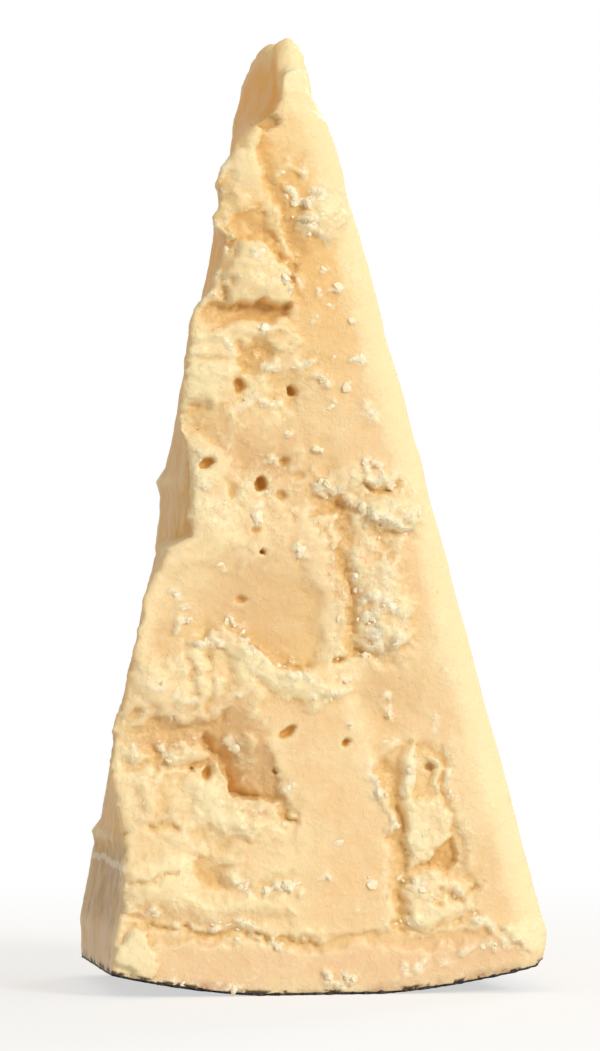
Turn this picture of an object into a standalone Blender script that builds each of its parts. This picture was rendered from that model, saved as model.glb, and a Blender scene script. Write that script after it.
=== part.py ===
"""A chunk of pecorino romano: one slice of a wheel, standing on its curved rind.

Metres, +Z up. The craggy front face looks along -Y. The origin is the centre of the flat
spot on the rind that the chunk stands on. The numbers below are millimetres.
"""
from dataclasses import dataclass

import bmesh
import bpy
import numpy as np
from mathutils import Vector, noise

NAME = "pecorino_wedge"
MM = 0.001

# Driving dimensions, in millimetres.
WHEEL_RADIUS = 145.0     # a wheel 29 cm across
DEPTH = 48.0             # from the front face to the back face
REST_WIDTH = 20.0        # chord of the flat spot under the rind
TIP_HEIGHT = 150.0       # where the two cuts are broken off short of the wheel's middle
TIP_LEFT, TIP_RIGHT = -5.9, -1.2
CUT_FOOT_LEFT, CUT_LEAN_LEFT = -32.3, 0.1806      # x at z = 0, and x per z, of the left cut
CUT_FOOT_RIGHT, CUT_LEAN_RIGHT = 39.05, -0.2819   # the same for the right cut
CORNER_CUT = 2.0         # rind corner broken off at the right
CORNER_RISE = 0.35       # how far up the broken corner's bend lies, as a share of its cut
CORNER_HEIGHT = 9.0      # and where the right cut starts above it
WIDEST = 60.0            # the wheel's arc is followed this far from the middle
CUT_HEIGHTS = (12.0, 143.0)    # the right cut is straight from the first height to the second
FOOT_LEFT, FOOT_RIGHT = 3.0, 8.0    # heights at which the rind's two ends lie under the cuts
LEFT_HEIGHTS = (146.0, 6.0)    # the same for the left cut, from the tip down
FRONT, BACK = -DEPTH / 2, DEPTH / 2

# How fine the solid is.
VOXEL = 1.2
TARGET_TRIANGLES = 9800

# Edges as (height, x) or (y, height), in millimetres.
FRONT_LEFT_EDGE = [
    (0, -33), (5, -33.4), (23, -31), (35, -33.4), (42, -32.3), (66, -27), (69.8, -25.3), (70.7, -24.9),
    (71.5, -23.2), (72.5, -21.2), (86, -21.3), (91, -22.5), (101, -21.5), (106, -20.8), (108.5, -19.8),
    (112, -16.9), (116, -15.4), (120, -14.8), (121.5, -16.3), (123, -16.9), (126, -15.6), (128.3, -16.7),
    (130.8, -15.9), (134, -13.4), (136, -12.3), (138, -11), (139.5, -9), (142.5, -7), (146, -6.2),
    (152, -6)]
BACK_LEFT_EDGE = [
    (0, -30.6), (9, -31.3), (22, -28.8), (24, -29.4), (26, -27.8), (34, -26.1), (42, -24), (48, -23.2),
    (70, -18.4), (79, -17.8), (81.5, -18.5), (84, -17.1), (90, -15.7), (99, -13.4), (110, -11.6),
    (137, -7.7), (145, -7.1), (152, -6)]
# How far the right cut stands out from its straight line, by height.
RIGHT_EDGE_SWELL = [
    (0, 0.2), (14, 1), (42, 1.1), (62, 1.3), (78, 1.3), (86, 1.8), (104, 1.5), (111, 1.9), (127, 1.3),
    (131, 1.9), (140, 1.8), (143, 0.7), (146, 0.6), (148, -0.2), (151, -0.6)]
CREST = [
    (-24, 146.8), (-21.5, 146.4), (-20, 147.2), (-18.8, 150.4), (-17, 151.8), (-15, 151.7),
    (-13.2, 149.4), (-11, 150.6), (-8.5, 151.6), (-5, 152), (-1, 151.9), (2, 151.3), (5, 150.3),
    (9, 148.7), (12, 147.5), (24, 147)]
REST_LEVEL = 0.12        # points lower than this belong to the flat spot
BACK_BREAK = [(0, 24), (104, 24), (120, 20), (136, 14), (152, 11)]   # y of the back face by height
CREST_DROP = 1.5         # how much lower the crest lies at its two sides

# The crags and folds of the left cut: how far back they reach, as a share of the depth, and the
# heights between which they run, each end with the length of its fade.
CRAG_DEPTH, CRAG_BETWEEN, CRAG_FADES = 0.08, (12.0, 145.0), (10.0, 12.0)
FOLD_DEPTH, FOLD_BETWEEN, FOLD_FADES = 0.3, (64.0, 94.0), (6.0, 8.0)
CRAG_STEP = 0.2                    # how far the crags stand out as a whole
FOLD_STRETCH = (1.0, 1.0, 0.35)    # the folds are long from top to bottom
# A cleft in the left cut: its depth, its place behind the front face and its width, both as a
# share of the chunk's depth, and where it runs.
CLEFT, CLEFT_PLACE, CLEFT_WIDTH = 1.5, 0.09, 0.045
CLEFT_BETWEEN, CLEFT_FADES = (72.0, 95.0), (2.0, 8.0)

# How the broken faces meet the cuts.
EDGE_DROP_LEFT, EDGE_WIDTH_LEFT = 0.6, 1.3
EDGE_DROP_RIGHT, EDGE_WIDTH_RIGHT = 2.4, 5.5
TIP_SHARPER, TIP_FROM, TIP_FADE = 0.75, 132.0, 6.0    # the left edge is sharper at the tip
FACE_REACH = 0.25        # share of the depth that a broken face's relief reaches into
FACE_BOLD = 0.72         # strength of the ledges, mounds and creases
BACK_COARSE, PLAIN_COARSE = 0.55, 0.1
CRUMBLE_FADE = 3.0       # how wide the rim is over which a crumbly stretch fades out
EYE_FRAY, EYE_ROUND, EYE_WALL = 0.35, 2.2, 0.6    # how ragged, how round and how steep eyes are
TOP_FROM, FOOT_TO = 134.0, 25.0    # the crest bends what lies above, the rind what lies below


def smooth_step(t):
    """Rise gently from 0 to 1 as t goes from 0 to 1."""
    t = np.clip(t, 0.0, 1.0)
    return t * t * (3.0 - 2.0 * t)


def edge_at(edge, where):
    """Read an edge, a list of (place, value), at each place."""
    places, values = zip(*edge)
    return np.interp(where, places, values)


def wander(points, size, octaves, shift):
    """Give smooth noise, about -1 to 1, with lumps of the given size in millimetres."""
    return np.array([
        noise.fractal((x / size + shift, y / size, z / size), 0.9, 2.0, octaves)
        for x, y, z in points.tolist()])


def crumbs(points, size, shift):
    """Give rounded lumps side by side, each at a height of its own, about -1 to 1."""
    heights = []
    for x, y, z in points.tolist():
        distances, middles = noise.voronoi((x / size + shift, y / size, z / size))
        dome = 1.0 - min(distances[0], 1.0) ** 2
        heights.append(dome - 0.55 + 0.28 * noise.cell(middles[0]))
    return np.array(heights)


def chips(points, size, shift):
    """Give flat facets side by side, each tilted its own way, as dry paste chips."""
    middle_lean = Vector((0.5, 0.5, 0.5))
    heights = []
    for x, y, z in points.tolist():
        place = Vector((x / size + shift, y / size, z / size))
        distances, middles = noise.voronoi(place)
        own, next_one = [
            0.5 * noise.cell(middle) + 1.6 * (noise.cell_vector(middle) - middle_lean).dot(place - middle)
            for middle in middles[:2]]
        share = 0.5 + 0.5 * min((distances[1] - distances[0]) / 0.3, 1.0)
        heights.append(next_one + share * (own - next_one))
    return np.array(heights)


def flakes(points, size, shift):
    """Give flat terraces with ragged steps between them, as a flaky paste breaks."""
    level = 2.6 * wander(points, size, 4, shift)
    rest = level - np.floor(level)
    return np.floor(level) + smooth_step((rest - 0.5) / 0.16 + 0.5) - 0.75 * level


def segment_distance(flat, start, end):
    """Give each point's distance to a segment, and on which side of it the point lies."""
    along = np.subtract(end, start)
    away = flat - start
    part = np.clip(away @ along / (along @ along), 0.0, 1.0)
    gap = away - part[:, None] * along
    side = along[0] * away[:, 1] - along[1] * away[:, 0]
    return np.hypot(gap[:, 0], gap[:, 1]), side


def path_distance(flat, path):
    """Give each point's distance to a path and its side: above 0 on the path's left."""
    best, side = segment_distance(flat, path[0], path[1])
    for start, end in zip(path[1:], path[2:]):
        distance, other = segment_distance(flat, start, end)
        side = np.where(distance < best, other, side)
        best = np.minimum(best, distance)
    return best, side


def depth_inside(flat, outline):
    """Give how far each point is inside a closed outline; below 0 is outside."""
    ring = np.array(list(outline) + [outline[0]], float)
    best = path_distance(flat, ring)[0]
    inside = np.zeros(len(flat), bool)
    for (ax, az), (bx, bz) in zip(ring[:-1], ring[1:]):
        spans = (az > flat[:, 1]) != (bz > flat[:, 1])
        run = (bx - ax) / (bz - az if bz != az else 1.0)
        inside ^= spans & (flat[:, 0] < ax + run * (flat[:, 1] - az))
    return np.where(inside, best, -best)


@dataclass(frozen=True)
class Roughness:
    """A layer of roughness: its strength and the width of its lumps, in millimetres."""

    strength: float
    size: float
    octaves: int = 3

    def wander(self, points, shift=0.0):
        """Give the layer as smooth noise."""
        return self.strength * wander(points, self.size, self.octaves, shift)

    def domes(self, points, shift=0.0):
        """Give the layer as rounded lumps."""
        return self.strength * crumbs(points, self.size, shift)

    def facets(self, points, shift=0.0):
        """Give the layer as tilted flat facets."""
        return self.strength * chips(points, self.size, shift)

    def terraces(self, points, shift=0.0):
        """Give the layer as flat terraces."""
        return self.strength * flakes(points, self.size, shift)


# How outlines on a broken face bend, fray and toss about.
BEND, FRAY, TOSS = Roughness(1.8, 10.0, 2), Roughness(1.0, 2.6, 4), Roughness(0.5, 2.0, 2)
# What a crumbly face is made of, and the slow waves of all of it.
LUMPS, FACETS, SMALL_FACETS = Roughness(0.8, 5.2), Roughness(0.6, 3.4), Roughness(0.4, 1.7)
TERRACES, SWELLS, WAVES = Roughness(0.4, 8.0), Roughness(0.35, 5.0), Roughness(0.3, 16.0)
PATCHES = Roughness(1.4, 7.0, 2)
# The two cuts, the crags and folds of the left one, and the crest.
LEFT_WAVES, RIGHT_WAVES, CREST_WAVES = Roughness(0.4, 12.0), Roughness(0.3, 12.0), Roughness(0.4, 3.0, 2)
CRAGS, SMALL_CRAGS, FOLDS = Roughness(0.7, 4.2), Roughness(0.5, 1.9), Roughness(1.1, 4.0)


@dataclass(frozen=True)
class Ledge:
    """A patch broken off flat: inside the outline the face lies at its own level and tilt."""

    name: str
    outline: list
    level: float
    tilt: tuple = (0.0, 0.0)
    soft: float = 1.0

    def shape(self, height, flat, warped):
        """Bring the height inside the outline to the ledge's plane."""
        share = smooth_step(0.5 + depth_inside(warped, self.outline) / self.soft)
        middle = np.mean(self.outline, axis=0)
        plane = self.level + (flat - middle) @ np.array(self.tilt)
        return height + share * (plane - height)


@dataclass(frozen=True)
class Swell:
    """A mound: it rises over its shoulder's width from the outline to its height."""

    name: str
    outline: list
    height: float
    shoulder: float

    def shape(self, height, flat, warped):
        """Add the mound to the height."""
        inside = np.clip(depth_inside(warped, self.outline) / self.shoulder, 0.0, 1.0)
        return height + self.height * np.sin(0.5 * np.pi * inside)


@dataclass(frozen=True)
class Crease:
    """A fold or crack along a path, with its own width on each side of the path."""

    name: str
    path: list
    depth: float
    left: float
    right: float

    def shape(self, height, flat, warped):
        """Cut the crease into the height."""
        distance, side = path_distance(warped, np.array(self.path, float))
        share = np.clip(distance / np.where(side > 0, self.left, self.right), 0.0, 1.0)
        return height - self.depth * (1.0 - share ** 1.5) ** 2


@dataclass(frozen=True)
class Crumble:
    """A stretch of the face that broke into crumbs, and how coarse it is."""

    name: str
    outline: list
    coarse: float


@dataclass(frozen=True)
class Eye:
    """A small round hole: its middle, width, height, turn in degrees, and depth."""

    middle: tuple
    width: float
    height: float
    turn: float
    depth: float


# The front face, from the tip down. Points are (x, z); heights are towards the viewer.
FRONT_FACE = [
    Ledge("notch under the tip", [(-6.6, 142.5), (-6.4, 138), (-8.2, 136.8), (-12, 138), (-9, 142)],
          level=-2.4, tilt=(0.5, 0.1), soft=0.6),
    Crease("diagonal valley", [(-10, 135), (-8, 128), (-4.5, 116.5)],
           depth=1.2, left=3, right=10),
    Ledge("upper left facet", [(-13, 135), (-11, 138), (-9.5, 136.5), (-10, 132), (-8.5, 125),
          (-12, 125), (-16, 125.5), (-15.5, 129), (-14.5, 132.5)],
          level=0.6, tilt=(0.1, 0.1), soft=1.2),
    Ledge("broken corner above it", [(-17.5, 128), (-14.5, 131.5), (-13.5, 129.5), (-16, 125.5)],
          level=-1.2, tilt=(0.5, 0), soft=0.8),
    Swell("rib below the facet", [(-15, 127.5), (-12, 127), (-10, 123.5), (-15, 124.5)],
          height=0.9, shoulder=1),
    Ledge("crumbly pocket", [(-15.5, 123.5), (-9.5, 123.5), (-8, 119), (-9.5, 117.5), (-13, 119),
          (-15.5, 119)],
          level=-1.5, tilt=(0.1, 0.1), soft=1.2),
    Ledge("corner lump", [(-17.5, 124), (-14.5, 124), (-14.5, 120), (-17, 120.5)],
          level=-0.6, tilt=(0.3, 0), soft=0.8),
    Ledge("sloping rib", [(-9.5, 133.5), (-10, 124), (-7.5, 118), (-4.5, 115.5), (-6.5, 120),
          (-8.5, 127.5)],
          level=0.2, tilt=(0.15, 0), soft=0.8),
    Swell("raised crumb patch", [(-6, 123), (-3, 126), (1.5, 129), (4, 127.5), (4.5, 122), (1.5, 119),
          (-3, 120)],
          height=1.3, shoulder=2),
    Swell("crumb arch", [(-7, 128.5), (-5, 133.5), (-1.5, 131), (-2, 129.5), (-4.5, 131.5), (-6, 128)],
          height=0.7, shoulder=0.9),
    Ledge("bulging block base", [(-16, 110), (-15.5, 116), (-13, 119), (-9.5, 118.5), (-5.5, 116),
          (-4, 112.5), (-5, 109.5), (-14, 109.5)],
          level=1.8, tilt=(0, 0.05), soft=1.2),
    Swell("bulging block dome", [(-16, 110), (-15, 116), (-13, 118.5), (-9, 118), (-6, 115.5),
          (-5, 112.5), (-5.5, 110)],
          height=1.4, shoulder=5),
    Ledge("deep crevice", [(-19.5, 108), (-16, 109.5), (-9.5, 110), (-4.5, 109), (-4.5, 106.5),
          (-9.5, 107), (-15.5, 107), (-19.5, 106.5)],
          level=-2.3, tilt=(-0.16, -0.5), soft=1.6),
    Ledge("block under the crevice", [(-21, 106), (-15, 107), (-4.5, 106.5), (-3, 103), (-9.5, 102),
          (-21, 101.5)],
          level=0.5, tilt=(0, -0.15), soft=1),
    Swell("lip of the crevice", [(-21, 106), (-15, 107), (-5, 106), (-5, 104.5), (-15.5, 104.5),
          (-20.5, 104)],
          height=0.9, shoulder=1.2),
    Ledge("scoop", [(-14, 103), (-9.5, 104), (-8, 102), (-9.5, 98), (-12.5, 98), (-14, 100.5)],
          level=-1.5, tilt=(0.05, -0.1), soft=2),
    Ledge("left bump base", [(-22, 100), (-15, 101.5), (-13, 99), (-14, 95), (-15, 93.5), (-22, 93.5)],
          level=1, tilt=(0.08, 0), soft=1.4),
    Swell("left bump dome", [(-21.5, 99.5), (-16, 101), (-13.5, 99), (-14, 94.5), (-18.5, 93.5),
          (-21, 94)],
          height=0.7, shoulder=3.5),
    Ledge("sunk ground", [(-16, 94), (-8, 97), (0, 93), (1, 80), (-4, 75), (-12, 77), (-13, 84)],
          level=-0.9, tilt=(0.02, 0.02), soft=7),
    Ledge("saucer round an eye", [(-8.5, 97.5), (-4, 98.5), (-2.5, 95.5), (-4.5, 93), (-8, 94)],
          level=-1.2, tilt=(0, 0.1), soft=1.8),
    Ledge("slope under the bump", [(-22.5, 93), (-15, 93), (-13, 89.5), (-15, 87), (-19.5, 88),
          (-22.5, 88.5)],
          level=-1.5, tilt=(0.15, -0.05), soft=2),
    Swell("eyed bump", [(-21.5, 87), (-18.5, 88), (-14, 86), (-13.5, 81.5), (-17, 78.5), (-21.5, 79)],
          height=1.2, shoulder=3),
    Ledge("middle plain", [(-14.5, 88), (-9.5, 89), (1.5, 88), (2.5, 83), (-5, 81), (-13.5, 83.5)],
          level=-0.9, tilt=(0, 0.08), soft=4),
    Swell("ground above the panel", [(-21, 79.5), (-17, 78.5), (-13, 75), (-11.5, 69.5), (-16, 66.5),
          (-26, 65.5), (-26, 69), (-21.5, 72.5)],
          height=0.9, shoulder=5),
    Swell("ridge beside the rift", [(-5, 78.5), (0.5, 76.5), (1.5, 69), (2, 54.5), (-0.5, 54),
          (-2.5, 62.5), (-4, 72)],
          height=0.6, shoulder=2.6),
    Ledge("smooth panel", [(-28, 57), (-26.5, 65), (-18, 68), (-3, 67), (-0.5, 62.5), (-0.5, 54), (-5, 52.5),
          (-9.5, 53.5), (-15, 57.5), (-21, 55.5)],
          level=-1.1, tilt=(-0.02, 0.03), soft=5),
    Ledge("hollow over the rift", [(-1, 80), (4, 80), (4.5, 76.5), (-1, 76)],
          level=-2, tilt=(0, 0.2), soft=2),
    Crease("rift", [(3, 76.5), (4, 72.5), (5, 66.5), (5, 53.5)],
           depth=1.5, left=3.4, right=2),
    Ledge("column base", [(6, 73.5), (11.5, 74), (12.5, 65.5), (14, 62.5), (14, 54), (10.5, 53), (6, 54)],
          level=0.2, tilt=(0.05, 0), soft=1.5),
    Swell("column lumps", [(6.5, 69), (11.5, 69), (13.5, 63), (13.5, 56), (10.5, 55), (7.5, 57.5)],
          height=1.3, shoulder=2.4),
    Swell("flake clump", [(7, 78.5), (10.5, 80), (15.5, 78.5), (17, 76.5), (16, 72.5), (11.5, 73.5),
          (7, 75)],
          height=1.9, shoulder=1.8),
    Crease("slit over the clump", [(7.5, 81.5), (10.5, 80.5), (12.5, 81)],
           depth=1.4, left=1.4, right=1.2),
    Swell("crumbs over the slit", [(6, 83), (8.5, 84.5), (10.5, 84.5), (11.5, 82), (8, 81.5)],
          height=1, shoulder=1.2),
    Crease("foot of the column", [(2.5, 53), (5, 53.5), (10.5, 53), (13, 51.5)],
           depth=0.8, left=1.4, right=1.2),
    Ledge("foot of the panel", [(-20, 58.5), (-15.5, 61), (-9, 57.5), (-2, 56.5), (-0.5, 54.6),
          (-3.5, 51), (-9, 52), (-13.5, 56.5), (-20, 54.5)],
          level=-1.4, tilt=(0, 0.06), soft=2),
    Ledge("lower plain", [(-27.5, 54), (-19.5, 56), (-15, 58), (-9.5, 53), (4, 49), (11.5, 48),
          (13, 10), (-5, 10), (-4, 31), (-8, 39.5), (-10.5, 46), (-30.5, 44.5)],
          level=0.3, soft=1.2),
    Ledge("sunk ground under the column", [(5, 52.5), (14, 51.5), (16, 44), (13, 40), (8, 40), (6, 46)],
          level=-0.7, tilt=(0, 0.04), soft=4),
    Swell("crumbly rim of the panel", [(-17, 56), (-14, 58.2), (-9.5, 53.8), (-3, 52.6), (4.5, 48.6),
          (1.5, 45.5), (-5, 47), (-10.5, 48.5)],
          height=1.2, shoulder=2.4),
    Swell("folds left of the rim", [(-29, 53), (-22.5, 55.5), (-17, 54.5), (-15, 48), (-18.5, 46),
          (-27.5, 46), (-30.5, 48)],
          height=1.1, shoulder=3),
    Swell("fold over the hollow", [(-15, 54.5), (-12, 54), (-9.5, 48), (-10.5, 45), (-14, 46)],
          height=1, shoulder=2.5),
    Crease("fold line one", [(-21.5, 54), (-20.5, 46.5)],
           depth=0.9, left=0.8, right=1.6),
    Crease("fold line two", [(-17.5, 54.5), (-17.5, 46.5)],
           depth=0.9, left=0.8, right=1.6),
    Ledge("big hollow", [(-32.5, 43), (-26, 45), (-19.5, 43.5), (-14.5, 44.5), (-13.5, 40), (-16.5, 37),
          (-17.5, 34), (-21, 35), (-32.5, 36)],
          level=-1.9, tilt=(-0.02, -0.07), soft=2.2),
    Ledge("slope into the hollow", [(-13.4, 46.6), (-11, 46.3), (-9, 42.8), (-8, 39.1), (-6.8, 34.2),
          (-5.4, 29.8), (-4.4, 27.8), (-5.4, 26), (-8.7, 28.7), (-10.8, 30.9), (-13.2, 32),
          (-15.4, 34.6), (-17.4, 37.8), (-17.8, 40.6), (-15.8, 42.5), (-14, 44)],
          level=-2.1, tilt=(0.32, 0.28), soft=1.6),
    Crease("bottom of the hollow", [(-17.6, 40.2), (-16.6, 37.6), (-14.8, 35), (-13, 32.6), (-10.8, 31.6),
          (-8.3, 30.2), (-5.8, 27)],
           depth=2.4, left=2.4, right=1.3),
    Swell("pale lump in the hollow", [(-25.5, 39.5), (-22, 41), (-18.5, 40), (-17.5, 37.5), (-20, 35.8),
          (-25, 36)],
          height=1.6, shoulder=2.6),
    Swell("lump in the hollow", [(-13, 40.6), (-10.6, 41.2), (-10.2, 37.6), (-12.4, 37)],
          height=1.1, shoulder=1.4),
    Crease("cleft under the pale lump", [(-20.6, 35.6), (-18.6, 35.8), (-17.4, 37)],
           depth=1.2, left=0.9, right=1.1),
    Swell("edge facet of the hollow", [(-33, 40.5), (-29, 41), (-28, 38), (-29, 36), (-33, 36)],
          height=0.9, shoulder=2),
    Crease("groove beside the facet", [(-28, 40.5), (-27.5, 38), (-26.8, 34.2)],
           depth=0.7, left=1.2, right=1.2),
    Ledge("left mound base", [(-31, 35), (-27.5, 35.5), (-25, 31), (-26, 26), (-31, 25.5)],
          level=-0.3, tilt=(-0.05, -0.04), soft=1.6),
    Swell("left mound", [(-30.5, 35), (-28, 35), (-26, 31), (-27.5, 26.5), (-30.5, 26.5)],
          height=0.8, shoulder=2.2),
    Ledge("slope under the hollow", [(-26, 35), (-21, 35), (-16, 34), (-13, 32.3), (-6.5, 31), (-4.5, 27),
          (-4.5, 19.5), (-15, 18), (-26, 23)],
          level=-0.5, tilt=(0, -0.12), soft=1.2),
    Swell("bright mound", [(-21.3, 34.6), (-15.8, 33.7), (-12.9, 32), (-10.3, 31.5), (-9.4, 29), (-6, 26.4),
          (-10.3, 24.2), (-15.3, 25), (-18.7, 28.4), (-21.3, 30.8)],
          height=1.3, shoulder=2.6),
    Ledge("golden dent", [(-18, 28.6), (-15.5, 27), (-13.5, 24), (-16, 22.5), (-19, 24), (-20, 27)],
          level=-0.8, tilt=(0, 0.08), soft=2.4),
    Swell("lip under the hollow", [(-13, 27), (-9.5, 28), (-5, 25.5), (-5.5, 23.5), (-12, 24)],
          height=0.7, shoulder=2),
    Crease("short crack", [(-27.5, 26), (-25.5, 27.5), (-22.5, 27.5)],
           depth=1.1, left=1.1, right=1.4),
    Ledge("pit", [(-20, 22), (-17.5, 23), (-15, 20.5), (-16, 17.5), (-19, 17.5)],
          level=-1.3, tilt=(0, 0.1), soft=2),
    Swell("low bulge", [(-31.5, 21.5), (-25, 23.5), (-20, 21.5), (-19.5, 17.5), (-5, 17), (-3, 12.5),
          (-16, 11.5), (-31.5, 14)],
          height=1.7, shoulder=4),
    Crease("groove over the bulge", [(-30.5, 19), (-26.5, 18.5), (-23.5, 19.5)],
           depth=1.2, left=0.8, right=0.8),
    Ledge("step over the rind band", [(-32.5, 11), (-26, 11), (-14.5, 10), (-0.5, 9), (13, 10),
          (27.5, 9.5), (28, 7.5), (-0.5, 7), (-32, 8)],
          level=-0.7, tilt=(0, 0.1), soft=0.8),
    Crease("groove over the rind band", [(-32, 13), (-27.5, 11), (-19.5, 10), (-9.5, 9), (-0.5, 8.5)],
           depth=0.7, left=1.4, right=1.2),
    Ledge("rind band", [(-35, 7.5), (37.5, 7.5), (37.5, -2), (-35, -2)],
          level=-0.2, tilt=(0, 0.02), soft=1.4),
    Ledge("right pocket", [(7.5, 37), (13, 40), (20.5, 38.5), (24, 26), (26.5, 11), (11.5, 10),
          (10.5, 24.5)],
          level=-0.9, soft=1.6),
    Crease("long groove", [(8.5, 38.5), (11.5, 34), (12.5, 26), (13, 11)],
           depth=0.8, left=2.6, right=2),
    Swell("crumbs beside the groove", [(7, 36.5), (10.5, 33), (11.5, 26), (9.5, 25.5), (8, 32.5)],
          height=1.3, shoulder=1),
    Swell("pale ridge", [(12.5, 38.5), (16, 40), (16, 32.5), (14, 26), (12.5, 26.5)],
          height=1.8, shoulder=1.6),
    Swell("small ridge", [(18, 37), (20.5, 36.5), (21.5, 30.5), (19, 31.5)],
          height=1.6, shoulder=1.2),
    Ledge("smooth mound", [(14, 30), (19.5, 31), (23, 29), (21.5, 25), (17, 21), (14, 20), (13, 25)],
          level=0.7, tilt=(-0.05, 0.02), soft=1.8),
    Ledge("dark hole", [(16.3, 20.2), (18, 23), (20.2, 24.8), (22.3, 24.8), (22.8, 20.5), (21.3, 18.8),
          (18.9, 19.8)],
          level=-2.6, tilt=(0, 0.1), soft=1.2),
    Swell("mound under the hole", [(13, 19.5), (18, 20), (21.5, 18), (25.5, 18), (26.5, 12.5),
          (18, 10.5), (13, 11)],
          height=1.7, shoulder=2.6),
    Crease("slit in the mound", [(19, 15.5), (23, 15.5), (25.5, 17)],
           depth=1.4, left=1.2, right=0.9),
    Ledge("left chip", [(-33.6, 5.6), (-31.7, 8.5), (-29.2, 10.4), (-28, 10.2), (-27.2, 8), (-25.6, 3.4),
          (-26.6, 1.8), (-29.1, 3), (-30.2, 4.3), (-31.7, 4.6)],
          level=1.4, tilt=(0.05, -0.08), soft=0.7),
    Ledge("right chip", [(29.4, 11), (33, 9.8), (37.2, 9.8), (37.6, 6), (34, 5.8), (31.5, 7.2), (29.8, 9)],
          level=0.8, tilt=(-0.1, 0.05), soft=0.8),
]
EYES = [
    Eye((-12.8, 96.4), 1.1, 1.3, 20, 1.4),
    Eye((-4.4, 95.4), 0.9, 1.0, 0, 1.7),
    Eye((-18.4, 84.0), 1.6, 0.9, 20, 1.8),
    Eye((-9.4, 80.6), 1.0, 1.6, -20, 2.4),
    Eye((-14.0, 79.6), 1.0, 1.5, 15, 0.8),
    Eye((-6.0, 79.2), 1.1, 0.9, -15, 0.9),
    Eye((-5.4, 84.4), 0.9, 1.0, 0, 0.9),
    Eye((-3.0, 82.4), 1.0, 0.8, 0, 0.5),
    Eye((-10.4, 73.2), 1.0, 0.7, 0, 0.8),
    Eye((-9.4, 69.6), 0.55, 0.5, 0, 1.7),
    Eye((-12.5, 62.9), 1.0, 0.7, 0, 0.9),
    Eye((-5.0, 42.0), 1.8, 0.8, 45, 1.4),
    Eye((4.0, 40.0), 0.8, 0.6, 20, 1.3),
    Eye((-14.5, 113.0), 0.9, 1.0, 0, 0.7),
    Eye((18.0, 35.5), 1.2, 0.8, 0, 0.8),
    Eye((3.0, 53.0), 1.2, 0.6, 0, 1.1),
    Eye((-17.9, 34.9), 0.7, 1.3, -15, 1.3),
    Eye((-20.2, 35.6), 0.5, 0.4, 0, 1.0),
    Eye((-7.0, 35.3), 0.4, 0.8, 20, 1.2),
]
CRUMBLES = [
    Crumble("pocket and block", [(-17, 125), (-8.5, 125), (-3, 117), (-3, 105), (-21, 105), (-17, 119.5)],
            0.4),
    Crumble("crumb patch", [(-6.5, 123.5), (-3, 127.5), (1.5, 129.5), (5, 127.5), (5, 121),
          (1.5, 118.5), (-4, 119.5)], 0.65),
    Crumble("crumb arch", [(-8, 133.5), (-1.5, 133.5), (-1.5, 127.5), (-8, 127.5)], 0.35),
    Crumble("eyed blocks", [(-22, 106), (-3, 106), (1, 100.5), (1, 96.5), (-3, 91), (-14.5, 88),
          (-22.5, 88)], 0.4),
    Crumble("eyed ground", [(-21.5, 88), (-3, 88), (3, 83), (-3, 78.5), (-5, 69), (-13, 67), (-21.5, 75)],
            0.35),
    Crumble("rift and column", [(-1.5, 83.5), (6.5, 85.5), (18, 80), (18, 72.5), (13.5, 71), (15, 52),
          (3, 52), (-1.5, 76.5)], 0.6),
    Crumble("edge of the rim", [(-21, 56.5), (-14, 59), (-8, 54.8), (-2.5, 53.8), (3, 50.5),
          (1, 48), (-5, 49.4), (-11, 51), (-15, 54), (-21, 53.5)], 0.6),
    Crumble("panel rim", [(-27.5, 56), (-15, 59), (-9.5, 54.5), (4.5, 50), (4, 46.5), (-10.5, 46),
          (-30.5, 45)], 0.4),
    Crumble("hollow", [(-32.5, 45.5), (-10.5, 46.5), (-4, 31), (-5, 25.5), (-26, 23), (-32.5, 34)], 0.4),
    Crumble("low mounds", [(-32.5, 32.5), (-5, 25.5), (-4, 16.5), (-1.5, 11), (-32, 9.5)], 0.25),
    Crumble("right pocket", [(7, 39.5), (22, 40.5), (26.5, 21.5), (27, 10), (11, 9.5)], 0.45),
    Crumble("left chip", [(-34, 10), (-25, 11), (-25, 0.5), (-34, 1.5)], 0.15),
    Crumble("right chip", [(27.5, 11.5), (37, 11), (37, 4.5), (27.5, 4.5)], 0.2),
    Crumble("groove", [(-32.5, 12), (1.5, 11), (1.5, 8), (-32.5, 8)], 0.5),
]
BACK_FACE = [
    Ledge("upper step", [(-12, 140), (4, 140), (12, 96), (-6, 88), (-15, 100)], level=-1.6,
          tilt=(0.06, 0.03), soft=2),
    Ledge("middle shelf", [(-16, 88), (14, 92), (20, 66), (2, 58), (-22, 62)], level=1.2,
          tilt=(0, -0.06), soft=1.6),
    Ledge("back hollow", [(2, 56), (18, 62), (27, 40), (16, 26), (0, 34)], level=-3.6,
          tilt=(-0.05, 0.08), soft=2.4),
    Swell("back mound", [(-26, 50), (-6, 54), (0, 30), (-14, 18), (-30, 26)], height=2.0, shoulder=7),
    Crease("back crack", [(-20, 70), (-6, 64), (6, 60), (19, 66)], depth=2.2, left=2.5, right=1.2),
    Ledge("back rind band", [(-34, 7), (39, 7), (39, -2), (-34, -2)], level=-0.4, soft=1.6),
]


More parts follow.
